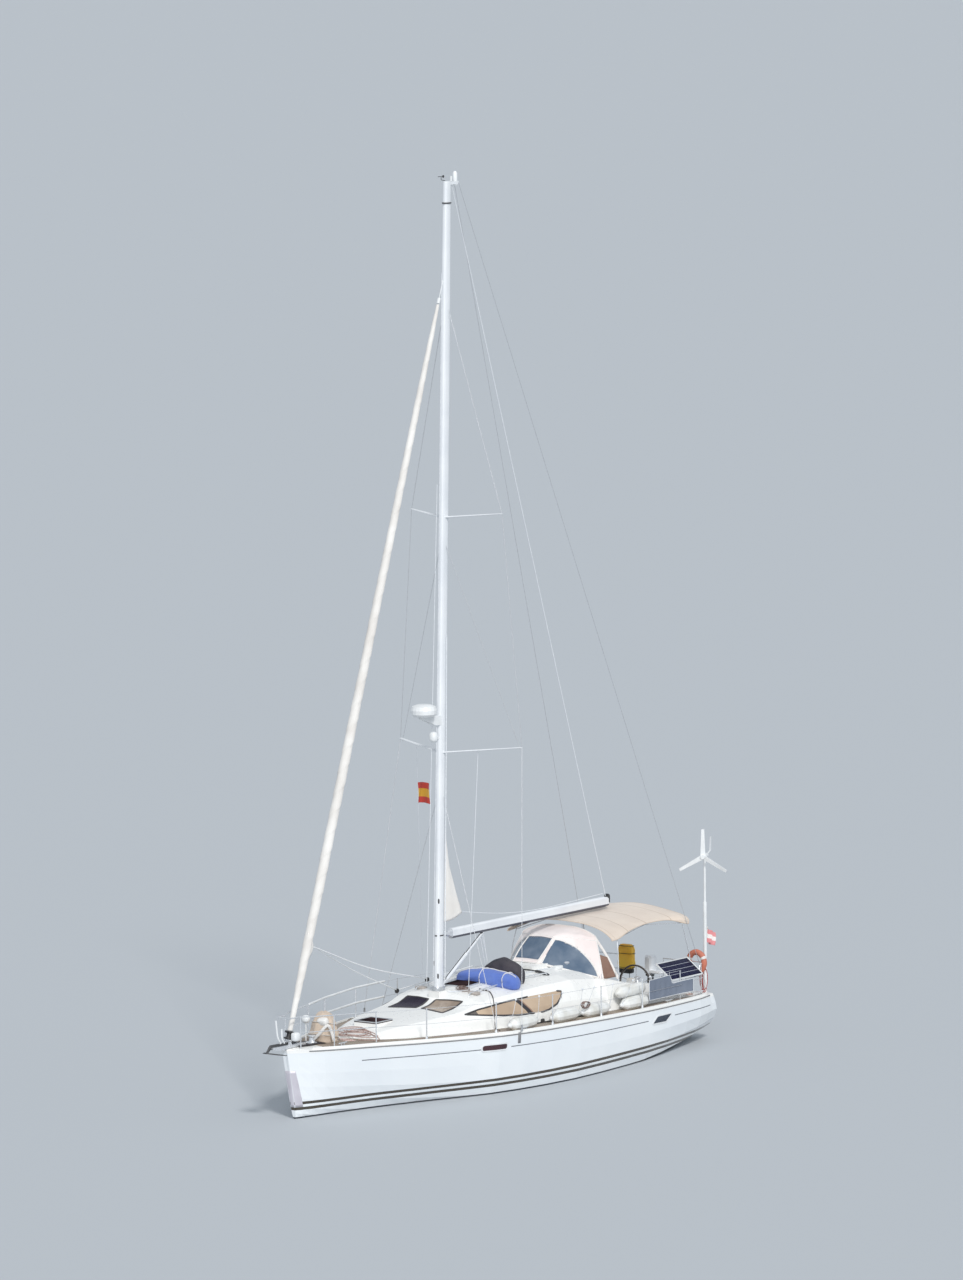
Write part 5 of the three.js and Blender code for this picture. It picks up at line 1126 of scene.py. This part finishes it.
# Lashed dinghy, folded cover and paddle on the coachroof.
# A deflated inflatable rolled up in blue coated cloth with white straps, a dark folded cover behind
# it, and its paddle beside them.
BLUE_ROLL = np.array([
    (0.13, -0.36, 0.060, 1.90, 2.02), (0.13, -0.30, 0.150, 1.87, 2.10), (0.13, -0.15, 0.195, 1.86, 2.16),
    (0.12, 0.10, 0.205, 1.86, 2.19), (0.10, 0.35, 0.215, 1.855, 2.21), (0.10, 0.60, 0.215, 1.85, 2.19),
    (0.09, 0.85, 0.200, 1.84, 2.16), (0.09, 1.02, 0.160, 1.84, 2.09), (0.09, 1.09, 0.070, 1.87, 2.00)])
DARK_ROLL = np.array([
    (-0.27, 0.00, 0.050, 1.95, 2.10), (-0.27, 0.06, 0.130, 1.89, 2.22), (-0.29, 0.25, 0.180, 1.87, 2.34),
    (-0.29, 0.45, 0.200, 1.86, 2.38), (-0.29, 0.68, 0.200, 1.85, 2.33), (-0.29, 0.86, 0.150, 1.86, 2.24),
    (-0.29, 0.93, 0.060, 1.92, 2.10)])


def roll(columns, folds, depth):
    """Folded roll along Y: an oval at each place, its radius waved by sines round it and along it."""
    u = np.linspace(0, 1, 90)
    column = curve(columns, 90)
    x, y, half, low, high = (column[:, k][:, None] for k in range(5))
    a = round_angles(64)[None, :]
    fade = np.sin(np.pi * u)[:, None] ** 0.4
    ripple = (np.sin(folds * a + 6 * y) + 0.6 * np.sin(2 * folds * a - 11 * y + 2)
              + 0.5 * np.sin(23 * y + 2 * a))
    waves = 1 + fade * depth * ripple
    square = squared(a, 2.5)
    across = half * square * waves * np.cos(a)
    rise = (high - low) / 2 * square * np.sin(a) * (1 + (waves - 1) * (np.sin(a) > -0.5))
    return np.stack([x + across, y + 0 * a, (low + high) / 2 + rise], -1)


def grown(ring, share):
    """A ring of points made larger about its middle."""
    return ring.mean(0) + (ring - ring.mean(0)) * share


blue_cloth = cloth_finish("blue coated cloth", (0.075, 0.145, 0.50), (0.15, 0.24, 0.60), 260.0, 0.0007,
                          Sheen_Weight=0.2)
dark_cloth = cloth_finish("dark cover cloth", (0.018, 0.020, 0.032), (0.07, 0.06, 0.07), 240.0, 0.0008)
blue_rings, dark_rings = roll(BLUE_ROLL, 4, 0.030), roll(DARK_ROLL, 3, 0.045)
dinghy = piece("lashed_dinghy", [loft(blue_rings)], "yacht_body", blue_cloth, 60)
cover = piece("folded_cover", [loft(dark_rings)], "yacht_body", dark_cloth, 60)
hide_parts("dinghy_bundle")
straps = [hoop(grown(blue_rings[at], 1.045), 0.013, 6, 0.35) for at in (42, 66)]
straps.append(tube(blue_rings[14:80, 16] + (0.0, 0.0, 0.010), 0.011, 6, 0.5))
piece("dinghy_straps", straps, "yacht_body", white_web)
shaft = drop(np.linspace((-1.20, 0.06, ABOVE), (-1.26, 0.60, ABOVE), 12), "coachroof", 0.022)
blade = pillow(shaft[-1] + (-0.01, 0.10, -0.012), (0.060, 0.17, 0.014), 0.6, 9, 18, (-12, "X"))
piece("paddle", [tube(shaft, 0.014, 8), blade], "yacht_body", black_plastic)


# Fenders on the side deck.
# Inflated white vinyl fenders with moulded eyes lie along the port side deck, each hung by its
# lanyard from the guard wire.
FENDERS = [(0.830, 1.730), (-0.580, 1.740), (-1.650, 1.740), (-3.090, 1.700)]
FENDER_HALF, FENDER_LIE = 0.475, 0.132  # half length, and the middle's height over the deck's edge
SPARE_FENDER = np.array((-3.05, 1.62, 1.475))
SPARE_PROFILE = np.array([
    (-0.50, 0.020), (-0.47, 0.040), (-0.43, 0.085), (-0.38, 0.112), (-0.30, 0.122),
    (0.30, 0.122), (0.38, 0.112), (0.43, 0.085), (0.47, 0.040), (0.50, 0.020)])


def on_guard_wire(x):
    """Point on the port upper guard wire."""
    return np.array((x, np.interp(x, STANCHION_X[::-1], edge_y[::-1]),
                     np.interp(x, DECK_X, SHEER) + UPPER_WIRE))


vinyl = finish("fender vinyl", (0.80, 0.81, 0.80), (0.66, 0.65, 0.60), (0.30, 0.5), 4.5, 0.8, 0.001)
dress(vinyl, "fender_1", "fender_2", "fender_3", "fender_4")
eyes, lanyards = [], []
for x, y in FENDERS:
    z = np.interp(x, DECK_X, SHEER) + FENDER_LIE
    for end in (-1, 1):
        hub = np.array((x + end * FENDER_HALF * 0.985, y, z))
        eye = np.array([hub + (end * out, 0, 0) for out in (-0.020, 0.0, 0.020, 0.035)])
        eyes.append(tube(eye, [0.055, 0.050, 0.030, 0.018], 12))
        top = on_guard_wire(x + end * 0.34)
        lanyard = [hub + (end * 0.02, 0, 0.0), (hub + top) / 2 + (0, 0.015, -0.02), top]
        lanyards += [tube(curve(lanyard, 14), 0.005, 6), pillow(top, (0.028, 0.016, 0.022), 0.8, 9, 12)]
piece("fender_eyes", eyes, "yacht_body", white_plastic)
piece("fender_lanyards", lanyards, "yacht_body", rope_white)
spare = SPARE_FENDER + SPARE_PROFILE[:, :1] * np.array((1.0, 0.0, -0.02))
piece("spare_fender", [tube(spare, SPARE_PROFILE[:, 1], 24)], "yacht_body", vinyl)


# Sheet of painted shade on the port quarter.
# A grey-blue coated cloth, hemmed and stretched between the stanchions from the toe rail to the wires,
# cut lower where the solar panel leans over it, laced up with thin line: painted shade for the cockpit's side.
CLOTH_RUN, CLOTH_STEP = (-3.42, -5.18), -4.32
CLOTH_LOW, CLOTH_HIGH, CLOTH_UNDER_PANEL = 0.150, 1.640, 1.450
# Its grey-blue stands for the cockpit's shaded side: painted shade.
painted_shade_sheet = cloth_finish("painted shade sheet", (0.170, 0.200, 0.262), (0.215, 0.245, 0.305), 240.0, 0.0008)
run_x = np.linspace(*CLOTH_RUN, 48)
rail_y = np.interp(run_x, STANCHION_X[::-1], edge_y[::-1]) - 0.012
low_edge = np.interp(run_x, DECK_X, SHEER) + CLOTH_LOW
step = 0.5 + 0.5 * np.tanh((run_x - CLOTH_STEP) / 0.035)
high_edge = CLOTH_UNDER_PANEL + (CLOTH_HIGH - CLOTH_UNDER_PANEL) * step
share = np.linspace(0, 1, 18)[None, :]
puff = 0.010 * np.sin(np.pi * share) * np.sin(14 * run_x)[:, None] ** 2
level = low_edge[:, None] * (1 - share) + high_edge[:, None] * share
grid = np.stack([run_x[:, None] + 0 * share, rail_y[:, None] - puff, level], -1)
cloth = panel("painted_shade_sheet", grid, 0.003, "yacht_body", painted_shade_sheet)
laces = [tube(np.array([grid[at, -1], on_guard_wire(run_x[at])]), 0.004, 6) for at in (2, 12, 22)]
piece("painted_shade_sheet_laces", laces + hemmed(grid, 0.006), "yacht_body", rope_white)


# Solar panel, outboard motor, rescue gear and flags at the stern.
# Everything hangs on the stern rails: a framed panel tilted outward, whose rail is bent down
# beneath it, a small outboard, a foam horseshoe, a yellow rescue bag and the flag staff.
PANEL_CENTRE = np.array((-5.040, 1.462, 1.640))
PANEL_LONG, PANEL_WIDE = 1.120, 0.500
PANEL_TILT = math.atan2(0.31, 0.40)
CORNER_SIGNS = ((-1, -1), (1, -1), (1, 1), (-1, 1))
CELL_PITCH, CELL_GAP, CELL_START = (0.140, 0.118), (0.030, 0.070), 10.03  # along and across; gaps as shares
RAIL_PLAN = np.array([
    (-4.743, 1.688), (-5.300, 1.610), (-5.750, 1.520), (-5.920, 1.420), (-5.960, 1.250), (-5.960, 0.430)])
RAIL_BENT_UP = [
    (-5.56, 1.560, 1.440), (-5.61, 1.549, 1.448), (-5.65, 1.540, 1.490),
    (-5.68, 1.534, 1.600), (-5.71, 1.528, 1.650), (-5.77, 1.515, 1.660)]
RAIL_POSTS = (*RAIL_PLAN[[0, 2, 5]], (-5.960, 1.000))
TOP_RAIL, UNDER_PANEL, MIDDLE_RAIL, POST_FOOT = 1.660, 1.440, 1.360, 0.980
TOP_BAR, MIDDLE_BAR, POST_BAR = 0.0125, 0.0093, 0.0111
STAFF_FOOT, STAFF_TOP = np.array((-6.020, 1.330, 0.990)), np.array((-6.260, 1.330, 2.320))


def at_level(plan, level):
    """Points of a plan (x, y) at one height."""
    return np.concatenate([plan, np.full((len(plan), 1), level)], 1)


cells = finish("solar cells", (0.014, 0.015, 0.042), (0.028, 0.030, 0.065), (0.30, 0.40), 8.0, 0.6,
               Specular_IOR_Level=0.04)
along, across, height = place_axes(cells)
cosine, sine = math.cos(PANEL_TILT), math.sin(PANEL_TILT)
down = sums(cells, "SUBTRACT", sums(cells, "MULTIPLY", across, cosine), sums(cells, "MULTIPLY", height, sine))
down = sums(cells, "SUBTRACT", down, PANEL_CENTRE[1] * cosine - PANEL_CENTRE[2] * sine)
along = sums(cells, "SUBTRACT", along, PANEL_CENTRE[0])
for value, pitch, gap, line in ((down, CELL_PITCH[1], CELL_GAP[1], (0.50, 0.53, 0.58)),
                                (along, CELL_PITCH[0], CELL_GAP[0], (0.08, 0.09, 0.14))):
    share = sums(cells, "FRACT", sums(cells, "DIVIDE", sums(cells, "ADD", value, CELL_START), pitch))
    paint(cells, sums(cells, "LESS_THAN", share, gap), line)
long_way = np.array((1.0, 0.0, 0.0))
lean = np.array((0.0, cosine, -sine))
rise = np.array((0.0, sine, cosine))
plate = [PANEL_CENTRE + a * long_way * PANEL_LONG / 2 + b * lean * PANEL_WIDE / 2 for a, b in CORNER_SIGNS]
laminate = panel("solar_panel_laminate", patch(plate, 9, 5), 0.024, "yacht_body", cells)
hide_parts("solar_panel")
rim = [PANEL_CENTRE + rise * 0.004 + a * long_way * (PANEL_LONG / 2 - 0.006)
       + b * lean * (PANEL_WIDE / 2 - 0.006)
       for a, b in CORNER_SIGNS]
bars = [tube(np.array([rim[i], rim[(i + 1) % 4]]), 0.017, 4, 1.1, np.pi / 4) for i in range(4)]
piece("solar_panel_frame", bars, "yacht_body", white_plastic)
under_panel = at_level(np.array([RAIL_PLAN[0], RAIL_PLAN[1], (-5.580, 1.556)]), UNDER_PANEL)
bent = [
    tube(curve(under_panel, 14), TOP_BAR),
    tube(curve(RAIL_BENT_UP, 18), TOP_BAR),
    tube(curve(at_level(RAIL_PLAN[2:], TOP_RAIL), 26), TOP_BAR),
    tube(curve(at_level(RAIL_PLAN, MIDDLE_RAIL), 32), MIDDLE_BAR),
]
bent += [tube(np.array([(x, y, POST_FOOT), (x, y, TOP_RAIL)]), POST_BAR) for x, y in RAIL_POSTS]
stern_rail = piece("stern_rail_port", bent, "yacht_body", steel)
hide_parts("pushpit_port")
stays = []
for x in (-5.42, -4.86):
    rail_y = float(np.interp(x, (-5.30, -4.74), (1.610, 1.690)))
    panel_end = PANEL_CENTRE * (0, 1, 1) + (x, 0, 0) + lean * 0.16 - rise * 0.016
    stays.append(tube(np.array([(x, rail_y, UNDER_PANEL), panel_end]), 0.011, 8))
piece("solar_panel_stays", stays, "yacht_body", alloy)

outboard_white = finish("outboard cowl paint", (0.95, 0.97, 0.99), (0.80, 0.84, 0.88), (0.15, 0.3), 5.0, 0.6,
                        Coat_Weight=0.3)
height = place_axes(outboard_white)[2]
paint(outboard_white, sums(outboard_white, "LESS_THAN", height, 1.285), (0.055, 0.057, 0.06))
paint(outboard_white, within(outboard_white, height, 1.335, 1.350), (0.09, 0.09, 0.10))
dress(outboard_white, "outboard_motor")
low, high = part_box("outboard_motor")
grip_y = (low.y + high.y) / 2
tiller = curve([
    (high.x - 0.08, grip_y, 1.30), (high.x + 0.06, grip_y, 1.32), (high.x + 0.26, grip_y + 0.05, 1.35)], 12)
tiller = [tube(tiller, [0.018] * 8 + [0.022] * 4, 10)]
piece("outboard_tiller", tiller, "yacht_body", black_plastic)

orange_foam = cloth_finish("orange foam cover", (0.62, 0.17, 0.095), (0.50, 0.20, 0.15), 160.0, 0.001)
arc = np.radians(np.linspace(-62, 242, 90))
ring = np.stack([np.full(90, -5.895), 1.310 + 0.190 * np.cos(arc), 1.665 + 0.205 * np.sin(arc)], -1)
blunt_ends = np.clip(np.sin(np.linspace(0, np.pi, 90)) * 9, 0.15, 1) ** 0.45
swell = 0.0605 * blunt_ends * (1 + 0.02 * np.sin(np.linspace(0, 40, 90)))
horseshoe = piece("horseshoe_lifebuoy", [tube(ring, swell, 24)], "yacht_body", orange_foam)
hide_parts("lifebuoy")
tapes = [tube(ring[at - 2: at + 3], 0.0635, 24) for at in (26, 64)]
piece("lifebuoy_tapes", tapes, "yacht_body", white_web)

yellow_cloth = cloth_finish("yellow coated cloth", (0.97, 0.65, 0.075), (0.95, 0.47, 0.045), 200.0, 0.001,
                            Sheen_Weight=0.2)
low, high = (np.array(corner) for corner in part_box("rescue_bag"))
mid, half = (low + high) / 2, (high - low) / 2
u = np.linspace(-np.pi / 2, np.pi / 2, 46)[:, None]
v = round_angles(72)[None, :]
level = power(np.sin(u), 0.38)
sag = 1 + 0.05 * np.sin(3 * v + 2) * np.cos(u) - 0.05 * np.cos(6 * level) + 0.02 * np.sin(9 * v + 5 * level)
bulge = np.clip(power(np.cos(u), 0.22), 0.03, 1) * sag * (1 - 0.06 * level) * 0.93
bag_rings = np.stack([
    mid[0] + half[0] * bulge * power(np.cos(v), 0.42),
    mid[1] + half[1] * bulge * power(np.sin(v), 0.42),
    mid[2] + half[2] * level + 0 * v], -1)
rescue = piece("rescue_bag_cloth", [loft(bag_rings)], "yacht_body", yellow_cloth, 60)
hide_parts("rescue_bag")
belts = [hoop(grown(bag_rings[at], (1.04, 1.03, 1.0)), 0.014, 6, 0.4) for at in (12, 23, 34)]
piece("rescue_bag_belts", belts, "yacht_body", black_plastic)
boot = pillow((mid[0], mid[1], low[2] - 0.03), (half[0] * 0.85, half[1] * 0.9, 0.06), 0.4)
piece("rescue_bag_boot", [boot], "yacht_body", black_plastic)

ensign_red = cloth_finish("ensign bunting", (0.70, 0.28, 0.29), (0.60, 0.18, 0.20), 300.0, 0.0006,
                          Sheen_Weight=0.3)
run = place_axes(ensign_red, uv="chart")
paint(ensign_red, within(ensign_red, run[0], 0.34, 0.66), (0.78, 0.76, 0.74))
u, v = np.meshgrid(np.linspace(0, 1, 30), np.linspace(0, 1, 40), indexing="ij")
hoist = STAFF_TOP - (STAFF_TOP - STAFF_FOOT) * (0.005 + 0.20 * u[..., None])
limp = np.stack([
    -0.26 * v + 0.02 * np.sin(11 * v), 0.050 * np.sin(13 * v + 2 * u) * v ** 0.3, -0.11 * v ** 1.2], -1)
flag = panel("ensign", hoist + limp, 0.002, "yacht_body", ensign_red)
varnish = finish("varnished staff", (0.72, 0.70, 0.67), (0.55, 0.5, 0.45), (0.2, 0.35), 9.0, 0.6)
dress(varnish, "ensign_staff")
knob = pillow(STAFF_TOP + (0, 0, 0.02), (0.024, 0.024, 0.020), 0.9, 9, 14)
piece("staff_knob", [knob], "yacht_body", varnish)

signal = cloth_finish("courtesy flag bunting", (0.66, 0.06, 0.04), (0.5, 0.07, 0.05), 300.0, 0.0006)
run = place_axes(signal, uv="chart")
paint(signal, within(signal, run[0], 0.30, 0.70), (0.80, 0.42, 0.04))
top, low_end = root + (halyard_end - root) * 0.150, root + (halyard_end - root) * 0.235
hoist = top + (low_end - top) * u[..., None]
blown = np.stack([-0.40 * v, 0.02 * np.sin(10 * v + 3 * u), -0.07 * v ** 2 + 0 * u], -1)
courtesy = panel("courtesy_flag", hoist + blown, 0.002, "yacht_body", signal)


# Cockpit woodwork, winches, cleats and helm.
# Teak strips cover the seats, sole and stern platform; self-tailing winches, horn cleats and
# sheet tracks are through-bolted; the helm pedestals carry a compass and the engine's lever.
SEAT, SOLE, PLATFORM = 0.930, 0.530, 0.380
TEAK_FLOOR_LIFT = 0.0055
TEAK_FLOORS = {
    "teak_seat": [(-4.00, 0.640), (-2.56, 0.640), (-2.56, 1.050), (-4.00, 1.050), SEAT],
    "teak_sole": [(-4.02, -0.570), (-2.70, -0.570), (-2.70, 0.570), (-4.02, 0.570), SOLE],
    "teak_helm_sole": [(-5.22, -1.100), (-4.10, -1.100), (-4.10, 1.100), (-5.22, 1.100), SOLE],
    "teak_platform": [(-6.30, -0.900), (-5.88, -0.900), (-5.88, 0.900), (-6.30, 0.900), PLATFORM],
}
cockpit_teak = teak("cockpit teak", 1, 0.048)
for name, (*corners, level) in TEAK_FLOORS.items():
    for side, hand in SIDES if name == "teak_seat" else (("", 1),):
        grid = patch([(x, y * hand, level + TEAK_FLOOR_LIFT) for x, y in corners], 8, 8)[:, ::-hand]
        label = name + "_" + side if side else name
        panel(label, grid, 0.009, "yacht_body", cockpit_teak, grid[..., :2])
table_teak = finish("varnished teak", (0.36, 0.17, 0.07), (0.24, 0.105, 0.045), (0.14, 0.26), 3.5, 0.9,
                    Coat_Weight=0.4)
dress(table_teak, "cockpit_table")

WINCH = np.array([  # height, radius
    (0.000, 0.078), (0.012, 0.078), (0.022, 0.062), (0.050, 0.050), (0.085, 0.046), (0.110, 0.060),
    (0.118, 0.072), (0.126, 0.060), (0.134, 0.072), (0.142, 0.060), (0.155, 0.024)])
WINCH_PLACES = [(-3.72, 1.335, "cockpit"), (-4.62, 1.320, "cockpit"), (-2.20, 0.640, "coachroof")]


def spot_on(target, x, y, lift=0.0):
    """Point on the top of a CAD node."""
    return drop(np.array([(x, y, ABOVE)]), target, lift)[0]


winches = []
for x, y, base in WINCH_PLACES:
    foot = spot_on(base, x, y)
    winches.append(tube(foot + WINCH[:, :1] * np.array((0, 0, 1.0)) - (0, 0, 0.004), WINCH[:, 1], 24))
piece("winches", winches + mirrored(winches), "yacht_body", steel)

CLEATS = [(5.15, 0.52), (0.95, 1.855), (-4.25, 1.745), (-5.72, 1.500)]
cleats = []
for x, y in CLEATS:
    base = spot_on("deck_moulding", x, y) + (0, 0, 0.012)
    horn = ((-0.13, 0.052), (-0.06, 0.045), (0.06, 0.045), (0.13, 0.052))
    horn = curve([base + (out, 0, rise) for out, rise in horn], 12)
    cleats.append(tube(horn, [0.010] + [0.014] * 10 + [0.010], 8))
    for offset in (-0.04, 0.04):
        cleats.append(tube(np.array([base + (offset, 0, -0.014), base + (offset, 0, 0.045)]), 0.013, 8))
piece("mooring_cleats", cleats + mirrored(cleats), "yacht_body", steel)
track_x = np.linspace(-1.70, 0.90, 20)
track = np.stack([track_x, np.interp(track_x, DECK_X, ROOF_FOOT) + 0.10, np.full(20, ABOVE)], -1)
track = drop(track, "deck_moulding", 0.020)
tracks = [tube(track, 0.014, 8), pillow(track[12] + (0, 0, 0.035), (0.055, 0.024, 0.040), 0.6, 9, 14)]
piece("sheet_tracks", tracks + mirrored(tracks), "yacht_body", black_plastic)

deck_lines = []
for k in range(3):
    way = ((1.22, 0.12 + 0.05 * k), (0.95, 0.30 + 0.05 * k), (-0.60, 0.40 + 0.04 * k),
           (-2.10, 0.54 + 0.03 * k))
    deck_lines.append(tube(drop(curve([(x, y, ABOVE) for x, y in way], 40), "coachroof", 0.012), 0.0055, 6))
piece("deck_lines", deck_lines + mirrored(deck_lines), "yacht_body", rope_white)
clutches = [pillow(spot_on("coachroof", -1.98, 0.58, 0.025), (0.10, 0.075, 0.040), 0.4, 9, 16)]
piece("rope_clutches", clutches + mirrored(clutches), "yacht_body", white_plastic)
vent_grey = finish("vent hood", (0.40, 0.36, 0.33), (0.52, 0.49, 0.46), (0.4, 0.6), 8.0, 0.7)
vents = [pillow(spot_on("coachroof", 1.00, 0.66) + (0, 0, 0.022), (0.075, 0.125, 0.034), 0.5, 11, 20)]
piece("low_vents", vents + mirrored(vents), "yacht_body", vent_grey)

WHEEL_Y, WHEEL_LEVEL, WHEEL_RADIUS, WHEEL_GRIP = 0.72, 1.33, 0.390, 0.0175
pods = [pillow(spot_on("cockpit", -4.46, WHEEL_Y) + (0, 0, 0.045), (0.075, 0.075, 0.060), 0.9, 13, 20)]
piece("compasses", pods + mirrored(pods), "yacht_body", black_plastic)
angle = np.linspace(0, 2 * np.pi, 61)
for side, hand in SIDES:
    low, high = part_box("helm_wheel_" + side)
    across, height = WHEEL_Y * hand + WHEEL_RADIUS * np.cos(angle), WHEEL_LEVEL + WHEEL_RADIUS * np.sin(angle)
    ring = np.stack([np.full(61, (low.x + high.x) / 2), across, height], -1)
    grip = [tube(np.concatenate([ring, ring[1:3]]), WHEEL_GRIP, 10)]
    leather = finish("wheel leather " + side, (0.045, 0.040, 0.040), (0.09, 0.075, 0.065), (0.45, 0.65),
                     30.0, 0.8, 0.001)
    piece("wheel_cover_" + side, grip, "helm_" + side, leather)
lever = [
    tube(np.array([(-4.40, -0.97, 1.02), (-4.38, -0.97, 1.20)]), 0.009, 8),
    pillow((-4.38, -0.97, 1.215), (0.020, 0.020, 0.024), 0.9, 9, 12),
    pillow((-4.41, -0.97, 1.00), (0.05, 0.035, 0.04), 0.6, 9, 14),
]
piece("engine_control", lever, "yacht_body", steel)


# Loose ropes.
# Laid or braided polyester lines: heaps and coils on the foredeck, beside the mast and on the
# quarter, and hanks hung on the stern rail and the lifeline.
rope_pink = finish("mooring line braid", (0.56, 0.42, 0.38), (0.30, 0.19, 0.17), (0.65, 0.85),
                   30.0, 0.9, 0.002)
rope_brown = finish("tarred brown braid", (0.17, 0.11, 0.095), (0.32, 0.24, 0.21), (0.65, 0.85),
                    30.0, 0.9, 0.002)
rope_red = finish("red braid", (0.36, 0.050, 0.045), (0.50, 0.12, 0.10), (0.65, 0.85), 30.0, 0.9, 0.002)
rope_white_red = finish("halyard braid", (0.72, 0.66, 0.62), (0.50, 0.20, 0.17), (0.65, 0.85),
                        34.0, 0.9, 0.002)
ROPE_LIFT = 0.010
COILS = [  # middle, half sizes, turns, share of the reach lost, thickness, material, messiness
    ("mooring_line", (4.20, 0.13), (0.22, 0.44), 6, 0.40, 0.019, rope_pink, 1),
    ("spare_halyard", (4.62, 0.22), (0.14, 0.20), 5, 0.66, 0.010, rope_white_red, 0),
    ("stern_line", (-5.50, 1.36), (0.13, 0.10), 4, 0.60, 0.012, rope_pink, 0),
    ("mast_foot_line", (0.95, 0.34), (0.11, 0.13), 6, 0.45, 0.013, rope_brown, 1),
]
HANKS = [  # hook, height, width, turns, thickness, material
    ("red_line_hank", (-6.02, 1.40, 1.52), 0.46, 0.16, 6, 0.013, rope_red),
    ("side_line_hank", (-1.20, 1.82, 1.50), 0.13, 0.22, 5, 0.014, rope_brown),
]


def running_mean(values, count):
    """Mean of each value and its neighbours, the ends repeated."""
    return np.convolve(np.pad(values, count // 2, "edge"), np.ones(count) / count, "valid")


def step_lengths(path):
    """Lengths of a line's steps."""
    return np.linalg.norm(np.diff(path, axis=0), axis=1)


def coiled(centre, wide, turns, shrink, thick, mess):
    """Oval spiral on the deck: cosine and sine of the turn, their reach falling from out to in. A messy heap
    also drifts and climbs one rope's width a turn. A running mean rounds its bends."""
    t = np.linspace(0, 1, 48 * turns)
    a = 2 * np.pi * turns * t
    reach = 1 - shrink * t + 0.22 * mess * np.sin(0.61 * a + 1)
    x = reach * np.cos(a + 0.3) + 0.30 * mess * np.sin(0.37 * a + 0.5) + 0.10 * mess * np.sin(3.3 * a)
    y = reach * np.sin(a) + 0.28 * mess * np.sin(0.29 * a + 2) + 0.06 * mess * np.sin(4.3 * a)
    flat = np.stack([centre[0] + wide[0] * x, centre[1] + wide[1] * y, np.full(len(t), ABOVE)], -1)
    level = highest(flat, ("coachroof", "deck_moulding"), ROPE_LIFT)
    climb = thick * (0.5 + 0.80 * mess * a / (2 * np.pi))
    path = np.stack([flat[:, 0], flat[:, 1], np.maximum(level, running_mean(level, 9)) + climb], -1)
    for _ in range(3):
        path = np.stack([running_mean(part, 7) for part in path.T], -1)
    run = np.concatenate([[0], np.cumsum(step_lengths(path))])
    return np.stack([np.interp(np.linspace(0, run[-1], 30 * turns), run, part) for part in path.T], -1)


def hank(hook, tall, wide, turns, thick):
    """Hanging hank: an oval loop in height and length, each turn one rope's width further out."""
    t = np.linspace(0, 1, 30 * turns)
    a = 2 * np.pi * turns * t
    return np.stack([
        hook[0] + wide / 2 * np.sin(a) * (1 + 0.08 * np.sin(2.3 * a)),
        hook[1] + 1.15 * thick * turns * (t - 0.5),
        hook[2] - tall / 2 * (1 - np.cos(a)) * (1 + 0.07 * np.sin(1.7 * a))], -1)


laid = [(name, coiled(*sizes, thick, mess), thick, made) for name, *sizes, thick, made, mess in COILS]
laid += [(name, hank(*sizes, thick), thick, made) for name, *sizes, thick, made in HANKS]
for name, path, thick, made in laid:
    line = piece(name, [tube(path, thick / 2, 8)], "yacht_body", made)
